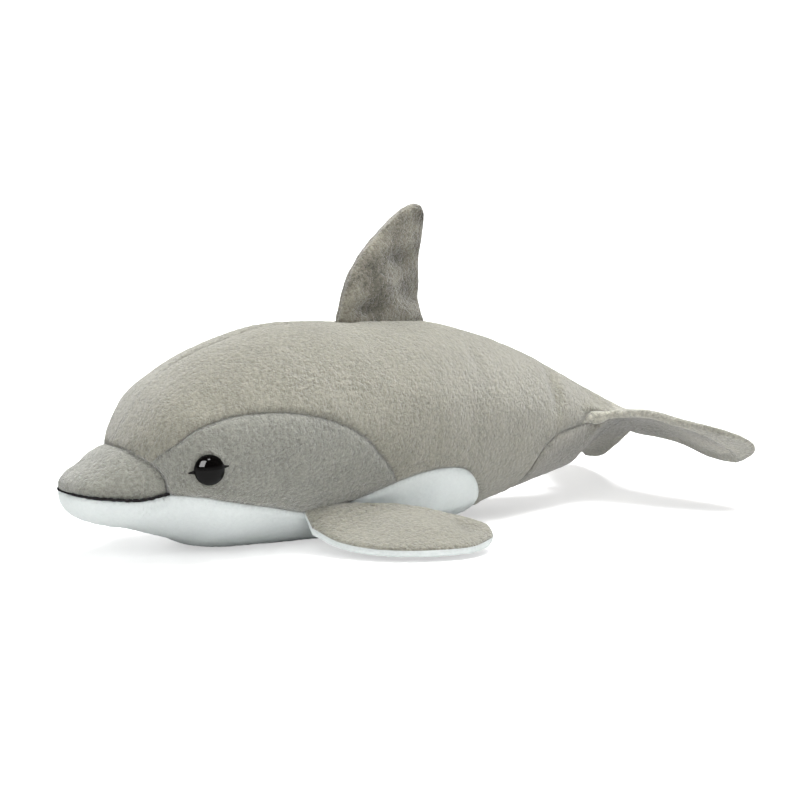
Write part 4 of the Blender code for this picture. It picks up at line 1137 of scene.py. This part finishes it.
def backdrop_floor():
    mesh = bpy.data.meshes.new("floor")
    reach = 30.0
    mesh.from_pydata([(-reach, -reach, 0), (reach, -reach, 0), (reach, reach, 0), (-reach, reach, 0)], [],
                     [(0, 1, 2, 3)])
    made, tree, shader = finish_of("floor", Base_Color=(FLOOR_TONE, FLOOR_TONE, FLOOR_TONE, 1), Roughness=0.9,
                                   Specular_IOR_Level=0.0, Emission_Color=(1, 1, 1, 1))
    apart = tree.add("ShaderNodeVectorMath", i0=tree.add("ShaderNodeTexCoord").outputs["Object"])
    apart.operation = "LENGTH"
    glow = tree.ranged(apart.outputs["Value"], 0.25, 1.2, FLOOR_GLOW, FAR_GLOW)
    tree.feed(shader.inputs["Emission Strength"], tree.math("MULTIPLY", tree.seen(), glow))
    mesh.materials.append(made)
    floor = bpy.data.objects.new("floor", mesh)
    bpy.context.scene.collection.objects.link(floor)


def surroundings():
    """White to look at, bright at the horizon and dark above for the eyes' gloss, and dim as a light."""
    world = bpy.data.worlds.new("studio")
    bpy.context.scene.world = world
    world.use_nodes = True
    tree = Tree(world.node_tree)
    place = tree.add("ShaderNodeTexCoord").outputs["Generated"]
    height = tree.add("ShaderNodeSeparateXYZ", i0=place).outputs["Z"]
    bright = tree.ranged(height, 0.12, 0.26, 1.0, 0.04)
    strength = tree.add("ShaderNodeMix", Factor=tree.seen(), A=AMBIENT, B=bright)
    background = world.node_tree.nodes["Background"]
    background.inputs["Color"].default_value = (1, 1, 1, 1)
    tree.feed(background.inputs["Strength"], strength.outputs["Result"])


def place_in_scene(name, data, place):
    """Put a lamp or the camera at some azimuth, elevation and distance in metres, and aim it at the toy."""
    a, e, distance = math.radians(place[0]), math.radians(place[1]), place[2]
    made = bpy.data.objects.new(name, data)
    made.location = TARGET + Vector((math.sin(a) * math.cos(e), -math.cos(a) * math.cos(e), math.sin(e))) * distance
    made.rotation_euler = (TARGET - made.location).to_track_quat("-Z", "Y").to_euler()
    bpy.context.scene.collection.objects.link(made)
    return made


backdrop_floor()
surroundings()
camera = bpy.data.cameras.new("camera")
camera.sensor_width = 36
camera.lens = CAMERA_LENS
bpy.context.scene.camera = place_in_scene("camera", camera, CAMERA_PLACE)
for name, place, size, power, lights in LAMPS:
    light = bpy.data.lights.new(name, "AREA")
    light.shape = "SQUARE"
    light.size = size
    light.energy = power
    lamp = place_in_scene(name, light, place)
    lamp.visible_camera = False
    lamp.visible_glossy = not lights
    lamp.visible_diffuse = lights
bpy.context.scene.view_settings.view_transform = "Standard"
